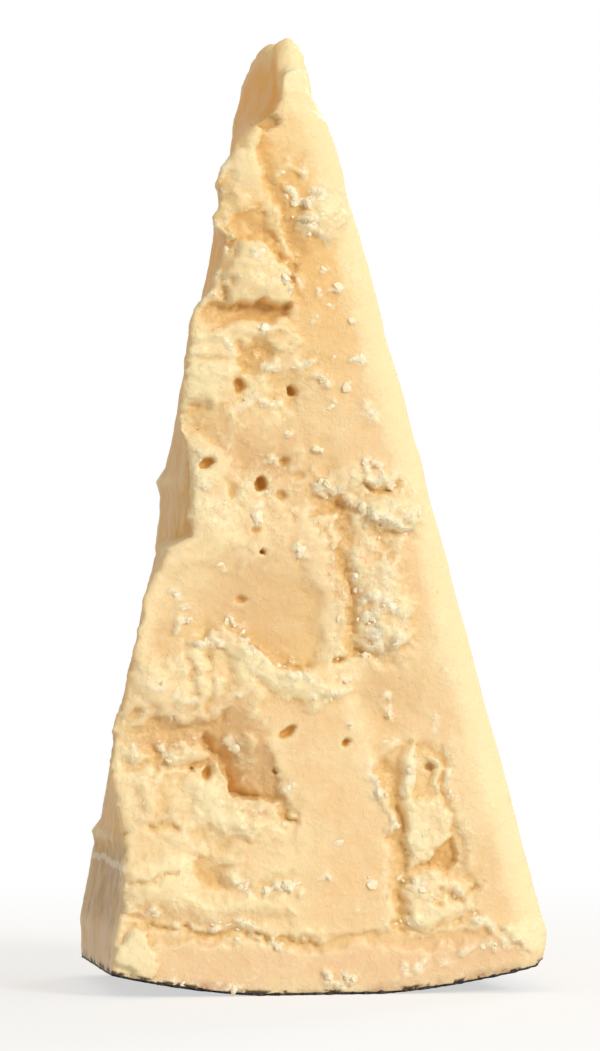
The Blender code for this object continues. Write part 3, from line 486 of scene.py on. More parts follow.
# The front face, from the tip down. Points are (x, z); heights are towards the viewer.
FRONT_FEATURES = (
    Ledge("notch under the tip", [(-6.6, 142.5), (-6.4, 138), (-8.2, 136.8), (-12, 138), (-9, 142)],
          level=-2.4, tilt=(0.5, 0.1), soft=0.6),
    Crease("diagonal valley", [(-10, 135), (-8, 128), (-4.5, 116.5)],
           depth=1.2, left=3, right=10),
    Ledge("upper left facet", [(-13, 135), (-11, 138), (-9.5, 136.5), (-10, 132), (-8.5, 125),
          (-12, 125), (-16, 125.5), (-15.5, 129), (-14.5, 132.5)],
          level=0.6, tilt=(0.1, 0.1), soft=1.2),
    Ledge("broken corner above it", [(-17.5, 128), (-14.5, 131.5), (-13.5, 129.5), (-16, 125.5)],
          level=-1.2, tilt=(0.5, 0), soft=0.8),
    Swell("rib below the facet", [(-15, 127.5), (-12, 127), (-10, 123.5), (-15, 124.5)],
          height=0.9, shoulder=1),
    Ledge("crumbly pocket", [(-15.5, 123.5), (-9.5, 123.5), (-8, 119), (-9.5, 117.5), (-13, 119),
          (-15.5, 119)],
          level=-1.5, tilt=(0.1, 0.1), soft=1.2),
    Ledge("corner lump", [(-17.5, 124), (-14.5, 124), (-14.5, 120), (-17, 120.5)],
          level=-0.6, tilt=(0.3, 0), soft=0.8),
    Ledge("sloping rib", [(-9.5, 133.5), (-10, 124), (-7.5, 118), (-4.5, 115.5), (-6.5, 120),
          (-8.5, 127.5)],
          level=0.2, tilt=(0.15, 0), soft=0.8),
    Swell("raised crumb patch", [(-6, 123), (-3, 126), (1.5, 129), (4, 127.5), (4.5, 122), (1.5, 119),
          (-3, 120)],
          height=1.3, shoulder=2),
    Swell("crumb arch", [(-7, 128.5), (-5, 133.5), (-1.5, 131), (-2, 129.5), (-4.5, 131.5), (-6, 128)],
          height=0.7, shoulder=0.9),
    Ledge("bulging block base", [(-16, 110), (-15.5, 116), (-13, 119), (-9.5, 118.5), (-5.5, 116),
          (-4, 112.5), (-5, 109.5), (-14, 109.5)],
          level=1.8, tilt=(0, 0.05), soft=1.2),
    Swell("bulging block dome", [(-16, 110), (-15, 116), (-13, 118.5), (-9, 118), (-6, 115.5),
          (-5, 112.5), (-5.5, 110)],
          height=1.4, shoulder=5),
    Ledge("deep crevice", [(-19.5, 108), (-16, 109.5), (-9.5, 110), (-4.5, 109), (-4.5, 106.5),
          (-9.5, 107), (-15.5, 107), (-19.5, 106.5)],
          level=-2.3, tilt=(-0.16, -0.5), soft=1.6),
    Ledge("block under the crevice", [(-21, 106), (-15, 107), (-4.5, 106.5), (-3, 103), (-9.5, 102),
          (-21, 101.5)],
          level=0.5, tilt=(0, -0.15), soft=1),
    Swell("lip of the crevice", [(-21, 106), (-15, 107), (-5, 106), (-5, 104.5), (-15.5, 104.5),
          (-20.5, 104)],
          height=0.9, shoulder=1.2),
    Ledge("scoop", [(-14, 103), (-9.5, 104), (-8, 102), (-9.5, 98), (-12.5, 98), (-14, 100.5)],
          level=-1.5, tilt=(0.05, -0.1), soft=2),
    Ledge("left bump base", [(-22, 100), (-15, 101.5), (-13, 99), (-14, 95), (-15, 93.5), (-22, 93.5)],
          level=1, tilt=(0.08, 0), soft=1.4),
    Swell("left bump dome", [(-21.5, 99.5), (-16, 101), (-13.5, 99), (-14, 94.5), (-18.5, 93.5),
          (-21, 94)],
          height=0.7, shoulder=3.5),
    Ledge("sunk ground", [(-16, 94), (-8, 97), (0, 93), (1, 80), (-4, 75), (-12, 77), (-13, 84)],
          level=-0.9, tilt=(0.02, 0.02), soft=7),
    Ledge("saucer round an eye", [(-8.5, 97.5), (-4, 98.5), (-2.5, 95.5), (-4.5, 93), (-8, 94)],
          level=-1.2, tilt=(0, 0.1), soft=1.8),
    Ledge("slope under the bump", [(-22.5, 93), (-15, 93), (-13, 89.5), (-15, 87), (-19.5, 88),
          (-22.5, 88.5)],
          level=-1.5, tilt=(0.15, -0.05), soft=2),
    Swell("eyed bump", [(-21.5, 87), (-18.5, 88), (-14, 86), (-13.5, 81.5), (-17, 78.5), (-21.5, 79)],
          height=1.2, shoulder=3),
    Ledge("middle plain", [(-14.5, 88), (-9.5, 89), (1.5, 88), (2.5, 83), (-5, 81), (-13.5, 83.5)],
          level=-0.9, tilt=(0, 0.08), soft=4),
    Swell("ground above the panel", [(-21, 79.5), (-17, 78.5), (-13, 75), (-11.5, 69.5), (-16, 66.5),
          (-26, 65.5), (-26, 69), (-21.5, 72.5)],
          height=0.9, shoulder=5),
    Swell("ridge beside the rift", [(-5, 78.5), (0.5, 76.5), (1.5, 69), (2, 54.5), (-0.5, 54),
          (-2.5, 62.5), (-4, 72)],
          height=0.6, shoulder=2.6),
    Ledge("smooth panel", [(-28, 57), (-26.5, 65), (-18, 68), (-3, 67), (-0.5, 62.5), (-0.5, 54), (-5, 52.5),
          (-9.5, 53.5), (-15, 57.5), (-21, 55.5)],
          level=-1.1, tilt=(-0.02, 0.03), soft=5),
    Ledge("hollow over the rift", [(-1, 80), (4, 80), (4.5, 76.5), (-1, 76)],
          level=-2, tilt=(0, 0.2), soft=2),
    Crease("rift", [(3, 76.5), (4, 72.5), (5, 66.5), (5, 53.5)],
           depth=1.5, left=3.4, right=2),
    Ledge("column base", [(6, 73.5), (11.5, 74), (12.5, 65.5), (14, 62.5), (14, 54), (10.5, 53), (6, 54)],
          level=0.2, tilt=(0.05, 0), soft=1.5),
    Swell("column lumps", [(6.5, 69), (11.5, 69), (13.5, 63), (13.5, 56), (10.5, 55), (7.5, 57.5)],
          height=1.3, shoulder=2.4),
    Swell("flake clump", [(7, 78.5), (10.5, 80), (15.5, 78.5), (17, 76.5), (16, 72.5), (11.5, 73.5),
          (7, 75)],
          height=1.9, shoulder=1.8),
    Crease("slit over the clump", [(7.5, 81.5), (10.5, 80.5), (12.5, 81)],
           depth=1.4, left=1.4, right=1.2),
    Swell("crumbs over the slit", [(6, 83), (8.5, 84.5), (10.5, 84.5), (11.5, 82), (8, 81.5)],
          height=1, shoulder=1.2),
    Crease("foot of the column", [(2.5, 53), (5, 53.5), (10.5, 53), (13, 51.5)],
           depth=0.8, left=1.4, right=1.2),
    Ledge("foot of the panel", [(-20, 58.5), (-15.5, 61), (-9, 57.5), (-2, 56.5), (-0.5, 54.6),
          (-3.5, 51), (-9, 52), (-13.5, 56.5), (-20, 54.5)],
          level=-1.4, tilt=(0, 0.06), soft=2),
    Ledge("lower plain", [(-27.5, 54), (-19.5, 56), (-15, 58), (-9.5, 53), (4, 49), (11.5, 48),
          (13, 10), (-5, 10), (-4, 31), (-8, 39.5), (-10.5, 46), (-30.5, 44.5)],
          level=0.3, soft=1.2),
    Ledge("sunk ground under the column", [(5, 52.5), (14, 51.5), (16, 44), (13, 40), (8, 40), (6, 46)],
          level=-0.7, tilt=(0, 0.04), soft=4),
    Swell("crumbly rim of the panel", [(-17, 56), (-14, 58.2), (-9.5, 53.8), (-3, 52.6), (4.5, 48.6),
          (1.5, 45.5), (-5, 47), (-10.5, 48.5)],
          height=1.2, shoulder=2.4),
    Swell("folds left of the rim", [(-29, 53), (-22.5, 55.5), (-17, 54.5), (-15, 48), (-18.5, 46),
          (-27.5, 46), (-30.5, 48)],
          height=1.1, shoulder=3),
    Swell("fold over the hollow", [(-15, 54.5), (-12, 54), (-9.5, 48), (-10.5, 45), (-14, 46)],
          height=1, shoulder=2.5),
    Crease("fold line one", [(-21.5, 54), (-20.5, 46.5)],
           depth=0.9, left=0.8, right=1.6),
    Crease("fold line two", [(-17.5, 54.5), (-17.5, 46.5)],
           depth=0.9, left=0.8, right=1.6),
    Ledge("big hollow", [(-32.5, 43), (-26, 45), (-19.5, 43.5), (-14.5, 44.5), (-13.5, 40), (-16.5, 37),
          (-17.5, 34), (-21, 35), (-32.5, 36)],
          level=-1.9, tilt=(-0.02, -0.07), soft=2.2),
    Ledge("slope into the hollow", [(-13.4, 46.6), (-11, 46.3), (-9, 42.8), (-8, 39.1), (-6.8, 34.2),
          (-5.4, 29.8), (-4.4, 27.8), (-5.4, 26), (-8.7, 28.7), (-10.8, 30.9), (-13.2, 32),
          (-15.4, 34.6), (-17.4, 37.8), (-17.8, 40.6), (-15.8, 42.5), (-14, 44)],
          level=-2.1, tilt=(0.32, 0.28), soft=1.6),
    Crease("bottom of the hollow", [(-17.6, 40.2), (-16.6, 37.6), (-14.8, 35), (-13, 32.6), (-10.8, 31.6),
          (-8.3, 30.2), (-5.8, 27)],
           depth=2.4, left=2.4, right=1.3),
    Swell("pale lump in the hollow", [(-25.5, 39.5), (-22, 41), (-18.5, 40), (-17.5, 37.5), (-20, 35.8),
          (-25, 36)],
          height=1.6, shoulder=2.6),
    Swell("lump in the hollow", [(-13, 40.6), (-10.6, 41.2), (-10.2, 37.6), (-12.4, 37)],
          height=1.1, shoulder=1.4),
    Crease("cleft under the pale lump", [(-20.6, 35.6), (-18.6, 35.8), (-17.4, 37)],
           depth=1.2, left=0.9, right=1.1),
    Swell("edge facet of the hollow", [(-33, 40.5), (-29, 41), (-28, 38), (-29, 36), (-33, 36)],
          height=0.9, shoulder=2),
    Crease("groove beside the facet", [(-28, 40.5), (-27.5, 38), (-26.8, 34.2)],
           depth=0.7, left=1.2, right=1.2),
    Ledge("left mound base", [(-31, 35), (-27.5, 35.5), (-25, 31), (-26, 26), (-31, 25.5)],
          level=-0.3, tilt=(-0.05, -0.04), soft=1.6),
    Swell("left mound", [(-30.5, 35), (-28, 35), (-26, 31), (-27.5, 26.5), (-30.5, 26.5)],
          height=0.8, shoulder=2.2),
    Ledge("slope under the hollow", [(-26, 35), (-21, 35), (-16, 34), (-13, 32.3), (-6.5, 31), (-4.5, 27),
          (-4.5, 19.5), (-15, 18), (-26, 23)],
          level=-0.5, tilt=(0, -0.12), soft=1.2),
    Swell("bright mound", [(-21.3, 34.6), (-15.8, 33.7), (-12.9, 32), (-10.3, 31.5), (-9.4, 29), (-6, 26.4),
          (-10.3, 24.2), (-15.3, 25), (-18.7, 28.4), (-21.3, 30.8)],
          height=1.3, shoulder=2.6),
    Ledge("golden dent", [(-18, 28.6), (-15.5, 27), (-13.5, 24), (-16, 22.5), (-19, 24), (-20, 27)],
          level=-0.8, tilt=(0, 0.08), soft=2.4),
    Swell("lip under the hollow", [(-13, 27), (-9.5, 28), (-5, 25.5), (-5.5, 23.5), (-12, 24)],
          height=0.7, shoulder=2),
    Crease("short crack", [(-27.5, 26), (-25.5, 27.5), (-22.5, 27.5)],
           depth=1.1, left=1.1, right=1.4),
    Ledge("pit", [(-20, 22), (-17.5, 23), (-15, 20.5), (-16, 17.5), (-19, 17.5)],
          level=-1.3, tilt=(0, 0.1), soft=2),
    Swell("low bulge", [(-31.5, 21.5), (-25, 23.5), (-20, 21.5), (-19.5, 17.5), (-5, 17), (-3, 12.5),
          (-16, 11.5), (-31.5, 14)],
          height=1.7, shoulder=4),
    Crease("groove over the bulge", [(-30.5, 19), (-26.5, 18.5), (-23.5, 19.5)],
           depth=1.2, left=0.8, right=0.8),
    Ledge("step over the rind band", [(-32.5, 11), (-26, 11), (-14.5, 10), (-0.5, 9), (13, 10),
          (27.5, 9.5), (28, 7.5), (-0.5, 7), (-32, 8)],
          level=-0.7, tilt=(0, 0.1), soft=0.8),
    Crease("groove over the rind band", [(-32, 13), (-27.5, 11), (-19.5, 10), (-9.5, 9), (-0.5, 8.5)],
           depth=0.7, left=1.4, right=1.2),
    Ledge("rind band", [(-35, 7.5), (37.5, 7.5), (37.5, -2), (-35, -2)],
          level=-0.2, tilt=(0, 0.02), soft=1.4),
    Ledge("right pocket", [(7.5, 37), (13, 40), (20.5, 38.5), (24, 26), (26.5, 11), (11.5, 10),
          (10.5, 24.5)],
          level=-0.9, soft=1.6),
    Crease("long groove", [(8.5, 38.5), (11.5, 34), (12.5, 26), (13, 11)],
           depth=0.8, left=2.6, right=2),
    Swell("crumbs beside the groove", [(7, 36.5), (10.5, 33), (11.5, 26), (9.5, 25.5), (8, 32.5)],
          height=1.3, shoulder=1),
    Swell("pale ridge", [(12.5, 38.5), (16, 40), (16, 32.5), (14, 26), (12.5, 26.5)],
          height=1.8, shoulder=1.6),
    Swell("small ridge", [(18, 37), (20.5, 36.5), (21.5, 30.5), (19, 31.5)],
          height=1.6, shoulder=1.2),
    Ledge("smooth mound", [(14, 30), (19.5, 31), (23, 29), (21.5, 25), (17, 21), (14, 20), (13, 25)],
          level=0.7, tilt=(-0.05, 0.02), soft=1.8),
    Ledge("dark hole", [(16.3, 20.2), (18, 23), (20.2, 24.8), (22.3, 24.8), (22.8, 20.5), (21.3, 18.8),
          (18.9, 19.8)],
          level=-2.6, tilt=(0, 0.1), soft=1.2),
    Swell("mound under the hole", [(13, 19.5), (18, 20), (21.5, 18), (25.5, 18), (26.5, 12.5),
          (18, 10.5), (13, 11)],
          height=1.7, shoulder=2.6),
    Crease("slit in the mound", [(19, 15.5), (23, 15.5), (25.5, 17)],
           depth=1.4, left=1.2, right=0.9),
    Ledge("left chip", [(-33.6, 5.6), (-31.7, 8.5), (-29.2, 10.4), (-28, 10.2), (-27.2, 8), (-25.6, 3.4),
          (-26.6, 1.8), (-29.1, 3), (-30.2, 4.3), (-31.7, 4.6)],
          level=1.4, tilt=(0.05, -0.08), soft=0.7),
    Ledge("right chip", [(29.4, 11), (33, 9.8), (37.2, 9.8), (37.6, 6), (34, 5.8), (31.5, 7.2), (29.8, 9)],
          level=0.8, tilt=(-0.1, 0.05), soft=0.8),
)
EYES = (
    Eye((-12.8, 96.4), 1.1, 1.3, 20, 1.4),
    Eye((-4.4, 95.4), 0.9, 1.0, 0, 1.7),
    Eye((-18.4, 84.0), 1.6, 0.9, 20, 1.8),
    Eye((-9.4, 80.6), 1.0, 1.6, -20, 2.4),
    Eye((-14.0, 79.6), 1.0, 1.5, 15, 0.8),
    Eye((-6.0, 79.2), 1.1, 0.9, -15, 0.9),
    Eye((-5.4, 84.4), 0.9, 1.0, 0, 0.9),
    Eye((-3.0, 82.4), 1.0, 0.8, 0, 0.5),
    Eye((-10.4, 73.2), 1.0, 0.7, 0, 0.8),
    Eye((-9.4, 69.6), 0.55, 0.5, 0, 1.7),
    Eye((-12.5, 62.9), 1.0, 0.7, 0, 0.9),
    Eye((-5.0, 42.0), 1.8, 0.8, 45, 1.4),
    Eye((4.0, 40.0), 0.8, 0.6, 20, 1.3),
    Eye((-14.5, 113.0), 0.9, 1.0, 0, 0.7),
    Eye((18.0, 35.5), 1.2, 0.8, 0, 0.8),
    Eye((3.0, 53.0), 1.2, 0.6, 0, 1.1),
    Eye((-17.9, 34.9), 0.7, 1.3, -15, 1.3),
    Eye((-20.2, 35.6), 0.5, 0.4, 0, 1.0),
    Eye((-7.0, 35.3), 0.4, 0.8, 20, 1.2),
)
CRUMBLES = (
    Crumble("pocket and block", [(-17, 125), (-8.5, 125), (-3, 117), (-3, 105), (-21, 105), (-17, 119.5)],
            0.4),
    Crumble("crumb patch", [(-6.5, 123.5), (-3, 127.5), (1.5, 129.5), (5, 127.5), (5, 121),
          (1.5, 118.5), (-4, 119.5)], 0.65),
    Crumble("crumb arch", [(-8, 133.5), (-1.5, 133.5), (-1.5, 127.5), (-8, 127.5)], 0.35),
    Crumble("eyed blocks", [(-22, 106), (-3, 106), (1, 100.5), (1, 96.5), (-3, 91), (-14.5, 88),
          (-22.5, 88)], 0.4),
    Crumble("eyed ground", [(-21.5, 88), (-3, 88), (3, 83), (-3, 78.5), (-5, 69), (-13, 67), (-21.5, 75)],
            0.35),
    Crumble("rift and column", [(-1.5, 83.5), (6.5, 85.5), (18, 80), (18, 72.5), (13.5, 71), (15, 52),
          (3, 52), (-1.5, 76.5)], 0.6),
    Crumble("edge of the rim", [(-21, 56.5), (-14, 59), (-8, 54.8), (-2.5, 53.8), (3, 50.5),
          (1, 48), (-5, 49.4), (-11, 51), (-15, 54), (-21, 53.5)], 0.6),
    Crumble("panel rim", [(-27.5, 56), (-15, 59), (-9.5, 54.5), (4.5, 50), (4, 46.5), (-10.5, 46),
          (-30.5, 45)], 0.4),
    Crumble("hollow", [(-32.5, 45.5), (-10.5, 46.5), (-4, 31), (-5, 25.5), (-26, 23), (-32.5, 34)], 0.4),
    Crumble("low mounds", [(-32.5, 32.5), (-5, 25.5), (-4, 16.5), (-1.5, 11), (-32, 9.5)], 0.25),
    Crumble("right pocket", [(7, 39.5), (22, 40.5), (26.5, 21.5), (27, 10), (11, 9.5)], 0.45),
    Crumble("left chip", [(-34, 10), (-25, 11), (-25, 0.5), (-34, 1.5)], 0.15),
    Crumble("right chip", [(27.5, 11.5), (37, 11), (37, 4.5), (27.5, 4.5)], 0.2),
    Crumble("groove", [(-32.5, 12), (1.5, 11), (1.5, 8), (-32.5, 8)], 0.5),
)
CRUMB_TRAILS = (
    CrumbTrail([(-6.5, 130), (-5.5, 131), (-4, 131.5), (-2.5, 130)], 0.5, 0.7),
    CrumbTrail([(-5, 127), (-3.5, 125), (-5, 123.5)], 0.8, 0.9),
    CrumbTrail([(-2.5, 125.5), (-0.5, 126.5), (1, 127.5)], 0.8, 0.7),
    CrumbTrail([(-4, 124), (-2, 123), (-0.5, 121), (0.5, 120)], 1, 0.9),
    CrumbTrail([(-11, 117.5), (-10, 117.5)], 0.5, 0.9),
    CrumbTrail([(-14.5, 133.5), (-17, 128), (-15.5, 125), (-17, 122.5), (-15.5, 118.5),
                (-17.5, 112.5), (-20, 107.5)], 0.5, 0.45),
    CrumbTrail([(-5, 114), (-3, 112.5), (-5, 110.5)], 0.6, 0.7),
    CrumbTrail([(0.5, 115)], 0.4, 0.9),
    CrumbTrail([(0, 111)], 0.5, 0.9),
    CrumbTrail([(2.5, 111.5)], 0.5, 0.8),
    CrumbTrail([(1.5, 109)], 0.4, 0.6),
    CrumbTrail([(5, 106.5)], 0.4, 0.7),
    CrumbTrail([(-1, 107)], 0.6, 0.5),
    CrumbTrail([(2, 101)], 0.4, 0.8),
    CrumbTrail([(6, 100.5), (7, 100.5)], 0.5, 0.7),
    CrumbTrail([(4.5, 96)], 0.4, 0.6),
    CrumbTrail([(2, 93.5)], 0.6, 0.8),
    CrumbTrail([(-5.5, 88.5), (-4.5, 89.5)], 0.4, 0.7),
    CrumbTrail([(-1, 87.5), (0, 86)], 0.5, 0.8),
    CrumbTrail([(-0.5, 98), (1, 96.5)], 0.6, 0.7),
    CrumbTrail([(7.5, 93), (9.5, 91)], 0.8, 0.5),
    CrumbTrail([(-9.5, 106), (-8, 105.5)], 0.6, 0.6),
    CrumbTrail([(-15, 103), (-13.5, 100.5)], 0.6, 0.6),
    CrumbTrail([(-10, 101.5), (-8, 98.5), (-5, 100), (-1.5, 100)], 1, 0.55),
    CrumbTrail([(-14, 92.5), (-10, 94.5), (-6, 93.5)], 1, 0.4),
    CrumbTrail([(-8, 85), (-5, 83)], 0.6, 0.5),
    CrumbTrail([(-19.5, 86), (-21, 83), (-18.5, 81.5)], 0.8, 0.35),
    CrumbTrail([(-8.5, 79.5)], 0.5, 0.6),
    CrumbTrail([(-9.5, 77.5), (-10, 75)], 0.6, 0.7),
    CrumbTrail([(-0.5, 81.5), (1.5, 80.5)], 0.6, 1),
    CrumbTrail([(0.5, 79), (4, 79), (5, 76.5)], 1, 0.55),
    CrumbTrail([(6, 82.5), (7.5, 84), (9.5, 84)], 0.8, 0.9),
    CrumbTrail([(8.5, 81.5), (11.5, 82)], 1, 0.7),
    CrumbTrail([(7, 77), (8.5, 75.5), (11.5, 75), (13, 73.5)], 1.1, 1),
    CrumbTrail([(12, 77), (15, 76)], 1, 0.6),
    CrumbTrail([(13.5, 73), (14, 73.5)], 0.5, 0.9),
    CrumbTrail([(6, 71), (5.5, 66), (6.5, 64)], 0.5, 0.6),
    CrumbTrail([(9.5, 71), (10, 66.5), (10.5, 63)], 1.4, 0.4),
    CrumbTrail([(7, 62), (8.5, 63), (11.5, 62), (13, 59), (12, 56)], 1.1, 0.8),
    CrumbTrail([(7, 60.5), (8.5, 58), (9.5, 55.5), (8.5, 54.5)], 1.3, 0.7),
    CrumbTrail([(-3.5, 71), (-2.5, 69)], 0.6, 0.9),
    CrumbTrail([(-16, 68), (-15, 67.5)], 0.5, 0.5),
    CrumbTrail([(-20.7, 80.9), (-18.4, 80.6)], 0.6, 0.6),
    CrumbTrail([(-22.4, 65.8)], 0.4, 0.6),
    CrumbTrail([(-23.6, 64), (-22.6, 63.2)], 0.5, 0.45),
    CrumbTrail([(-21.7, 61.4)], 0.5, 0.5),
    CrumbTrail([(-23, 58.2), (-21.8, 59.2)], 0.7, 0.6),
    CrumbTrail([(3, 59.5)], 0.4, 0.5),
    CrumbTrail([(-14.5, 59.5), (-13.5, 57.5)], 0.5, 0.9),
    CrumbTrail([(-12.8, 57.2), (-11.8, 56.2)], 0.8, 0.9),
    CrumbTrail([(-11.6, 55.4), (-10, 54.4), (-9, 53)], 1.2, 0.6),
    CrumbTrail([(-7.4, 52.6), (-6.4, 51.6)], 0.8, 0.8),
    CrumbTrail([(-4.9, 52.4), (-3.8, 51.2)], 1.2, 0.8),
    CrumbTrail([(-2.4, 50.8), (-1.2, 49.4)], 1, 0.7),
    CrumbTrail([(-0.5, 48), (2.5, 47.5), (4, 48.5), (4, 50)], 0.6, 0.7),
    CrumbTrail([(-20.5, 55.5), (-18, 56)], 0.5, 0.9),
    CrumbTrail([(-17, 56), (-15, 55)], 0.5, 0.6),
    CrumbTrail([(2.5, 53.5), (3.5, 53)], 0.5, 0.5),
    CrumbTrail([(9.5, 52.5)], 0.6, 0.8),
    CrumbTrail([(-14, 48), (-12.5, 47)], 0.5, 0.7),
    CrumbTrail([(-29.5, 51.5), (-24.5, 48), (-20.5, 46.5)], 0.8, 0.4),
    CrumbTrail([(10.5, 47.5), (11.5, 44)], 1, 0.5),
    CrumbTrail([(5, 42.5)], 0.5, 0.6),
    CrumbTrail([(10.5, 40.5), (12.5, 40)], 0.5, 0.6),
    CrumbTrail([(20.5, 52.5), (21.5, 50)], 0.8, 0.4),
    CrumbTrail([(18.5, 44.5), (19, 42)], 0.8, 0.4),
    CrumbTrail([(-25.5, 40), (-24, 38)], 0.6, 0.5),
    CrumbTrail([(-15, 40), (-13, 38.5)], 0.8, 0.5),
    CrumbTrail([(-30, 39.5), (-30, 38)], 0.5, 0.5),
    CrumbTrail([(-6, 32.5), (-4.5, 33)], 0.5, 0.8),
    CrumbTrail([(7.5, 36.5), (9, 33.5), (9.5, 31)], 0.8, 0.8),
    CrumbTrail([(10.5, 30), (12, 26.5)], 0.6, 0.7),
    CrumbTrail([(15, 37.5), (14.5, 34.5), (13, 32)], 0.8, 0.7),
    CrumbTrail([(18.5, 37), (20.5, 35), (21, 31)], 0.6, 0.7),
    CrumbTrail([(13.5, 18), (16, 17.5), (18, 15)], 1, 0.6),
    CrumbTrail([(20.5, 18.5), (23.5, 14)], 0.8, 0.5),
    CrumbTrail([(25, 12.5), (26, 11.5)], 0.6, 0.7),
    CrumbTrail([(10.5, 10.5), (15, 12), (16, 11)], 0.6, 0.6),
    CrumbTrail([(8, 18), (8.5, 17)], 0.5, 0.9),
    CrumbTrail([(6, 13.5)], 0.5, 0.8),
    CrumbTrail([(-14, 18), (-12, 17), (-9.5, 16.5), (-6.5, 17), (-4, 17.5)], 0.6, 0.8),
    CrumbTrail([(-0.5, 18.5), (1.5, 18.5)], 0.6, 0.6),
    CrumbTrail([(-3, 15.5), (-2.5, 14)], 0.6, 0.5),
    CrumbTrail([(-30.5, 13), (-26.5, 13), (-24, 11.5), (-20.5, 11)], 0.8, 0.6),
    CrumbTrail([(-17.5, 11), (-14, 11.5), (-12, 11.5)], 0.8, 0.9),
    CrumbTrail([(-10.5, 10), (-8, 8.5), (-5, 8)], 0.6, 0.7),
    CrumbTrail([(-13, 9)], 0.4, 0.7),
    CrumbTrail([(27, 10.5), (29, 9), (30, 7)], 0.7, 0.5),
    CrumbTrail([(1, 3), (3, 1.5)], 0.6, 0.7),
    CrumbTrail([(3.5, 3.5), (5, 1.5)], 0.6, 0.6),
    CrumbTrail([(13, 3.5), (19.5, 5), (26, 7.5), (32.5, 8.5)], 0.6, 0.5),
    CrumbTrail([(-25.5, 2), (-20, 1.2), (-13, 0.8)], 0.7, 0.8),
    CrumbTrail([(-34.5, 32.5), (-33.5, 26.5), (-32, 21.5), (-31, 15)], 0.5, 0.5),
)
# Soft patches on the front face: partly the paste's own tone, partly painted shade in hollows, grooves and
# holes (above 0) and painted light on mounds and ridges (below 0).
TONES_AND_SHADE = (
    ToneAndShade("knob", (-3.5, 150), 5, 3.5, -0.7),
    ToneAndShade("below the knob", (-4.5, 143.5), 2.6, 3.5, -0.5),
    ToneAndShade("side of the notch", (-8.4, 139.6), 2.4, 3, 0.7),
    ToneAndShade("upper left facet", (-13, 131.5), 4, 4.5, -0.7),
    ToneAndShade("valley beside the crumbs", (-5, 121), 2, 8, 0.4, 20),
    ToneAndShade("pocket by the corner", (-17.4, 107.6), 4, 1.6, 0.5),
    ToneAndShade("bulging block", (-11, 113.5), 5.5, 3.6, -0.1),
    ToneAndShade("block's right flank", (-2, 108), 3, 6, 0.3),
    ToneAndShade("under the crevice", (-14, 104.6), 6.5, 1.4, -0.5),
    ToneAndShade("left bump", (-19, 99), 3.4, 6.5, -0.7),
    ToneAndShade("scoop", (-10.5, 100.5), 3.6, 2.8, 0.5),
    ToneAndShade("slope under the bump", (-17.5, 90.5), 5, 2.2, 0.5),
    ToneAndShade("ground by the eyes", (-14.5, 86.5), 4, 3, 0.5),
    ToneAndShade("eyed ground", (-8, 84.5), 8, 6.5, 0.75),
    ToneAndShade("left fringe", (-21, 81.4), 2.6, 7, -0.6),
    ToneAndShade("block over the panel", (-16.8, 76.5), 4.5, 4, -0.45),
    ToneAndShade("panel", (-11, 62), 10, 8, 0.75),
    ToneAndShade("left of the panel", (-25.5, 58.5), 2.5, 4.5, 0.5),
    ToneAndShade("head of the rift", (2, 77.4), 4, 3.2, 0.9),
    ToneAndShade("top of the rift", (3, 71), 2, 4, 0.5),
    ToneAndShade("beside the rift", (3.4, 64), 1.4, 10, 0.5),
    ToneAndShade("foot of the column", (9.5, 54.8), 4, 1.6, 0.4),
    ToneAndShade("under the column", (10.5, 47.4), 5, 5.5, 0.7),
    ToneAndShade("right streak", (22.5, 35.5), 3, 16, 0.15, 16),
    ToneAndShade("upper right streak", (13, 66), 2.6, 13, 0.3, 16),
    ToneAndShade("rim crumbs", (-8.9, 50.6), 7, 2.6, -0.8, -20),
    ToneAndShade("tan band", (-23, 41), 9, 4.6, 1.15),
    ToneAndShade("slope into the hollow", (-12.3, 36.8), 4.2, 9, 2.1, 28),
    ToneAndShade("pale lump", (-22, 38.2), 3.4, 1.5, -0.2),
    ToneAndShade("crevice", (-14.8, 36.4), 2.4, 6, 1, 40),
    ToneAndShade("dark side of the hollow", (-11, 35), 3, 4, 1.4),
    ToneAndShade("foot of the panel", (-8, 55), 6, 2, 0.6, -20),
    ToneAndShade("bright mound", (-15, 29), 8, 2.8, -1, -28),
    ToneAndShade("golden dent", (-17.5, 25.8), 2.6, 2.4, 0.4),
    ToneAndShade("low mound", (-25, 19.7), 6.5, 5, -0.6),
    ToneAndShade("pit", (-17.4, 20), 2, 2.4, 0.5),
    ToneAndShade("shaded groove", (9.6, 30), 2, 4, 0.5),
    ToneAndShade("beside the tongue", (11.4, 17), 1.6, 8, 0.3),
    ToneAndShade("pale ridges", (15, 35.5), 2.2, 4.5, -0.5),
    ToneAndShade("tongue", (15.8, 25), 2.6, 5.5, -0.8),
    ToneAndShade("hole beside the tongue", (19.6, 21.8), 3, 2.4, 0.6),
    ToneAndShade("mound under the hole", (19, 13.6), 6, 3, -0.8),
    ToneAndShade("right foot", (32.5, 9), 5, 2.6, -1),
    ToneAndShade("left chip", (-29.6, 6.6), 3.4, 4, -1),
)
